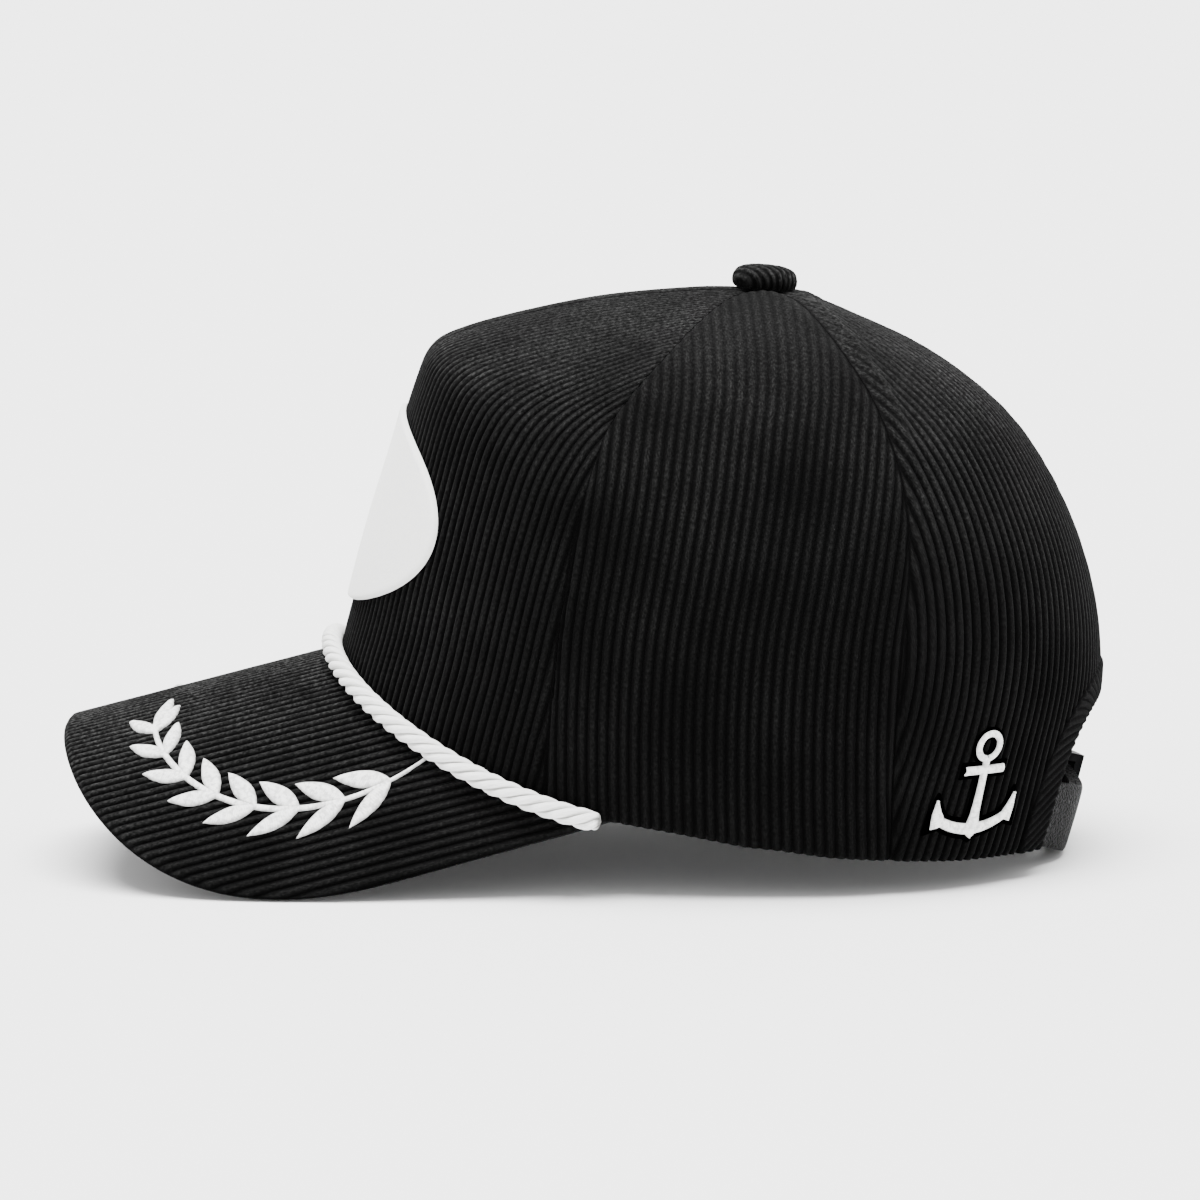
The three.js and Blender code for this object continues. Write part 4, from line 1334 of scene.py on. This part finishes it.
def makeHem():
    # the strip that binds the arch's edge: over the face, round the lip and a little way inside
    turns = np.linspace(0, pi / 2, 400)
    power = 2 / arch["squareness"]
    line = np.stack([arch["width"] / 2 * np.cos(turns) ** power, arch["height"] * np.sin(turns) ** power], 1)
    line = line[line[:, 1] > crown["rimLift"] * 0.5]
    strides = np.hypot(*np.diff(line, axis=0).T)
    along = np.concatenate([[0], np.cumsum(strides)])
    places = np.linspace(0, along[-1], hem["columns"])
    edge = np.stack([np.interp(places, along, line[:, 0]), np.interp(places, along, line[:, 1])], 1)
    forward = np.gradient(edge, axis=0)
    forward /= np.linalg.norm(forward, axis=1, keepdims=True)
    outward = np.stack([forward[:, 1], -forward[:, 0]], 1)
    width, lip, rise = hem["width"], hem["lip"], hem["lift"]
    inside = -crown["wall"] - hem["thickness"]
    section = [(width, 0.0), (width - 0.0002, rise * 0.8)]
    section += [(v, rise) for v in np.arange(width - 0.0007, 0.0006, -0.0005)]
    section += [(0.0002, rise * 0.9), (-lip * 0.7, rise * 0.4), (-lip, -0.0006), (-lip * 0.8, inside * 0.8)]
    section += [(0.0004, inside), (hem["turnedIn"] / 2, inside), (hem["turnedIn"], inside)]
    section = np.array(section)[::-1]
    v = section[:, 0][:, None]
    lift = np.broadcast_to(section[:, 1][:, None], (len(section), hem["columns"]))
    slanted = places[None] + hem["slant"] * v
    onFace = ease(lift, rise * 0.7, rise)
    # painted shade in the grooves, and more of it where the hem turns round the lip and inside
    ribLift, recessShade = ribProfile(slanted / ribs["pitch"])
    ribLift, recessShade = ribLift * onFace, recessShade * mix(0.5, 1, onFace)
    x = edge[:, 0][None] + outward[:, 0][None] * v
    z = edge[:, 1][None] + outward[:, 1][None] * v
    points = backSpot(np.maximum(x, hem["middleGap"]), z, lift + ribLift)
    points[:, -1, 0] = hem["middleGap"]
    cloth = np.stack([slanted, v - places[None] * 0.7, np.zeros(x.shape)], -1)
    for label, mirror in (("left", False), ("right", True)):
        shaped = points[:, ::-1] * np.array([-1, 1, 1]) if mirror else points
        piece = gridPiece("arch_hem_" + label, shaped)
        setValues(piece, "recessShade", (recessShade[:, ::-1] if mirror else recessShade).ravel())
        setValues(piece, "topLight", np.full(recessShade.size, hem["topLight"]))
        setValues(piece, "cloth", (cloth[:, ::-1] if mirror else cloth).reshape(-1, 3))
        giveWall(piece, hem["thickness"])
        smoothPiece(piece)
        finishPiece(piece, corduroy, "corduroy")
    print("arch hem")


makeHem()

band = {"height": 0.032, "thickness": 0.0013, "bulge": 0.0006, "columns": 220, "rows": 12}


def makeSweatband():
    # the band inside the rim, from one side of the arch round to the other
    end = archAngle(arch["width"] / 2 + strap["width"])
    angle = np.broadcast_to(np.linspace(-end, end, band["columns"]), (band["rows"], band["columns"]))
    share = np.linspace(0, 1, band["rows"])[:, None]
    depth = crown["wall"] + crown["gap"]
    seat = levelWhere(angle, crown["wall"], lambda point: rimHeightAt(angle, point))
    foot = crownPoint(seat, angle, crown["wall"])[..., 2] + crown["gap"]
    level = levelWhere(angle, depth, lambda point: foot + share * band["height"])
    points = crownPoint(level, angle, depth + band["bulge"] * np.sin(pi * share))
    piece = gridPiece("sweatband_cloth", points)
    cloth = np.stack(np.broadcast_arrays(angle * crown["sideReach"], share * band["height"], 0.0), -1)
    setValues(piece, "cloth", cloth.reshape(-1, 3))
    giveWall(piece, band["thickness"])
    smoothPiece(piece, 50)
    finishPiece(piece, twill, "band_cloth", "sweatband")
    print("sweatband")


makeSweatband()


def strapSpot(angle, share, depth):
    # a place on the strap: angle from the front past the back's middle, share up its width
    turned = np.minimum(angle, 2 * pi - angle)
    sewn = archAngle(arch["width"] / 2)
    along = np.clip((turned - sewn) / (pi - sewn), 0, 1)
    foot = mix(crown["rimLift"] * 0.5, crown["gap"], np.sin(along * pi / 2))
    leaves = archAngle(arch["width"] / 2 - strap["width"] / 3)
    lies = mix(crown["wall"] + 2 * crown["gap"], 0, ease(turned, leaves, mix(leaves, pi, 0.55)))
    level = levelWhere(turned, 0, lambda point: foot + share * strap["width"] * strap["steepness"])
    point = crownPoint(level, turned, lies + depth)
    point[..., 0] *= np.where(angle > pi, -1, 1)
    return point


def makeStrap():
    # two ends that lie on each other, each sewn inside the crown beside the arch
    sewn = archAngle(arch["width"] / 2 + 0.72 * strap["width"])
    free = 2 * pi - archAngle(strap["overlap"] / 2)
    columns, rows = 130, 15
    angle = np.broadcast_to(np.linspace(sewn, free, columns), (rows, columns))
    v = np.sin(np.linspace(-pi / 2, pi / 2, rows))[:, None]
    fromEnd = (free - angle) * crown["backReach"]
    corner = strap["cornerRadius"]
    cornered = np.clip(1 - fromEnd / corner, 0, 1)
    half = 1 - (1 - np.sqrt(1 - cornered**2)) * corner / (strap["width"] / 2)
    share = 0.5 + 0.5 * v * half
    edge = (1 - np.abs(v)) * strap["width"] / 2
    soften = 0.0004 * (1 - ease(np.minimum(edge, fromEnd), 0, 0.0012))
    for label, sign, layer in (("left", 1, 0), ("right", -1, 1)):
        under = layer * (strap["thickness"] + crown["gap"])
        points = strapSpot(angle, share, under + soften)
        if sign < 0:
            points = points[:, ::-1] * np.array([-1, 1, 1])
        piece = gridPiece("strap_%s_leather" % label, points)
        giveWall(piece, strap["thickness"])
        smoothPiece(piece, 50)
        finishPiece(piece, leather, "strap_leather", "strap_" + label)
    print("strap")


makeStrap()

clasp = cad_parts["clasp"]
clasp.data.materials.clear()
clasp.data.materials.append(claspMetal)

studio = {
    "target": (0.0, 0.0051, 0.0684),
    "distance": 1.4,
    "elevation": radians(7.3),
    "roll": radians(0.5),
    "lens": 155.4,
    "floorSize": 160.0,
    "floorColor": (0.92, 0.92, 0.92, 1),
    "worldStrength": 1.2,
    "horizonStrength": 4.1,
    "overheadStrength": 11.0,
    "overheadAngle": radians(50),
}


def makeStudio():
    # a wide pale floor, a broad light overhead, and a sky that is brightest at the horizon
    deselectAll()
    bpy.ops.mesh.primitive_plane_add(size=studio["floorSize"], location=(0, 0, 0))
    floor = bpy.context.object
    floor.name = "floor"
    finish = {"Base Color": studio["floorColor"], "Roughness": 0.9}
    floor.data.materials.append(startMaterial("floor", finish)[0])
    world = bpy.data.worlds.new("studio")
    world.use_nodes = True
    background = world.node_tree.nodes["Background"]
    tree = world.node_tree
    direction = addNode(tree, "ShaderNodeTexCoord").outputs["Generated"]
    parts = addNode(tree, "ShaderNodeSeparateXYZ", Vector=direction)
    share = studio["worldStrength"] / studio["horizonStrength"]
    sky = rampOf(tree, parts.outputs["Z"], (0.0, (1, 1, 1)), (0.09, (1, 1, 1)), (0.2, (share, share, share)))
    tree.links.new(sky, background.inputs["Color"])
    background.inputs["Strength"].default_value = studio["horizonStrength"]
    bpy.context.scene.world = world
    deselectAll()
    bpy.ops.object.light_add(type="SUN", location=(0, 0, 2), rotation=(0, radians(6), 0))
    light = bpy.context.object
    light.name = "overhead"
    light.data.energy = studio["overheadStrength"]
    light.data.angle = studio["overheadAngle"]


def makeCamera():
    # from the wearer's left side, a little above and a little rolled
    elevation, roll = studio["elevation"], studio["roll"]
    back = np.array([cos(elevation), 0, sin(elevation)])
    levelUp = np.array([-sin(elevation), 0, cos(elevation)])
    right = cos(roll) * np.array([0, 1, 0]) - sin(roll) * levelUp
    up = sin(roll) * np.array([0, 1, 0]) + cos(roll) * levelUp
    place = np.array(studio["target"]) + studio["distance"] * back
    deselectAll()
    bpy.ops.object.camera_add()
    camera = bpy.context.object
    camera.matrix_world = Matrix([*zip(right, up, back, place), (0, 0, 0, 1)])
    camera.data.sensor_fit = "HORIZONTAL"
    camera.data.sensor_width = 36
    camera.data.lens = studio["lens"]
    bpy.context.scene.camera = camera


makeStudio()
makeCamera()

print("studio ready")
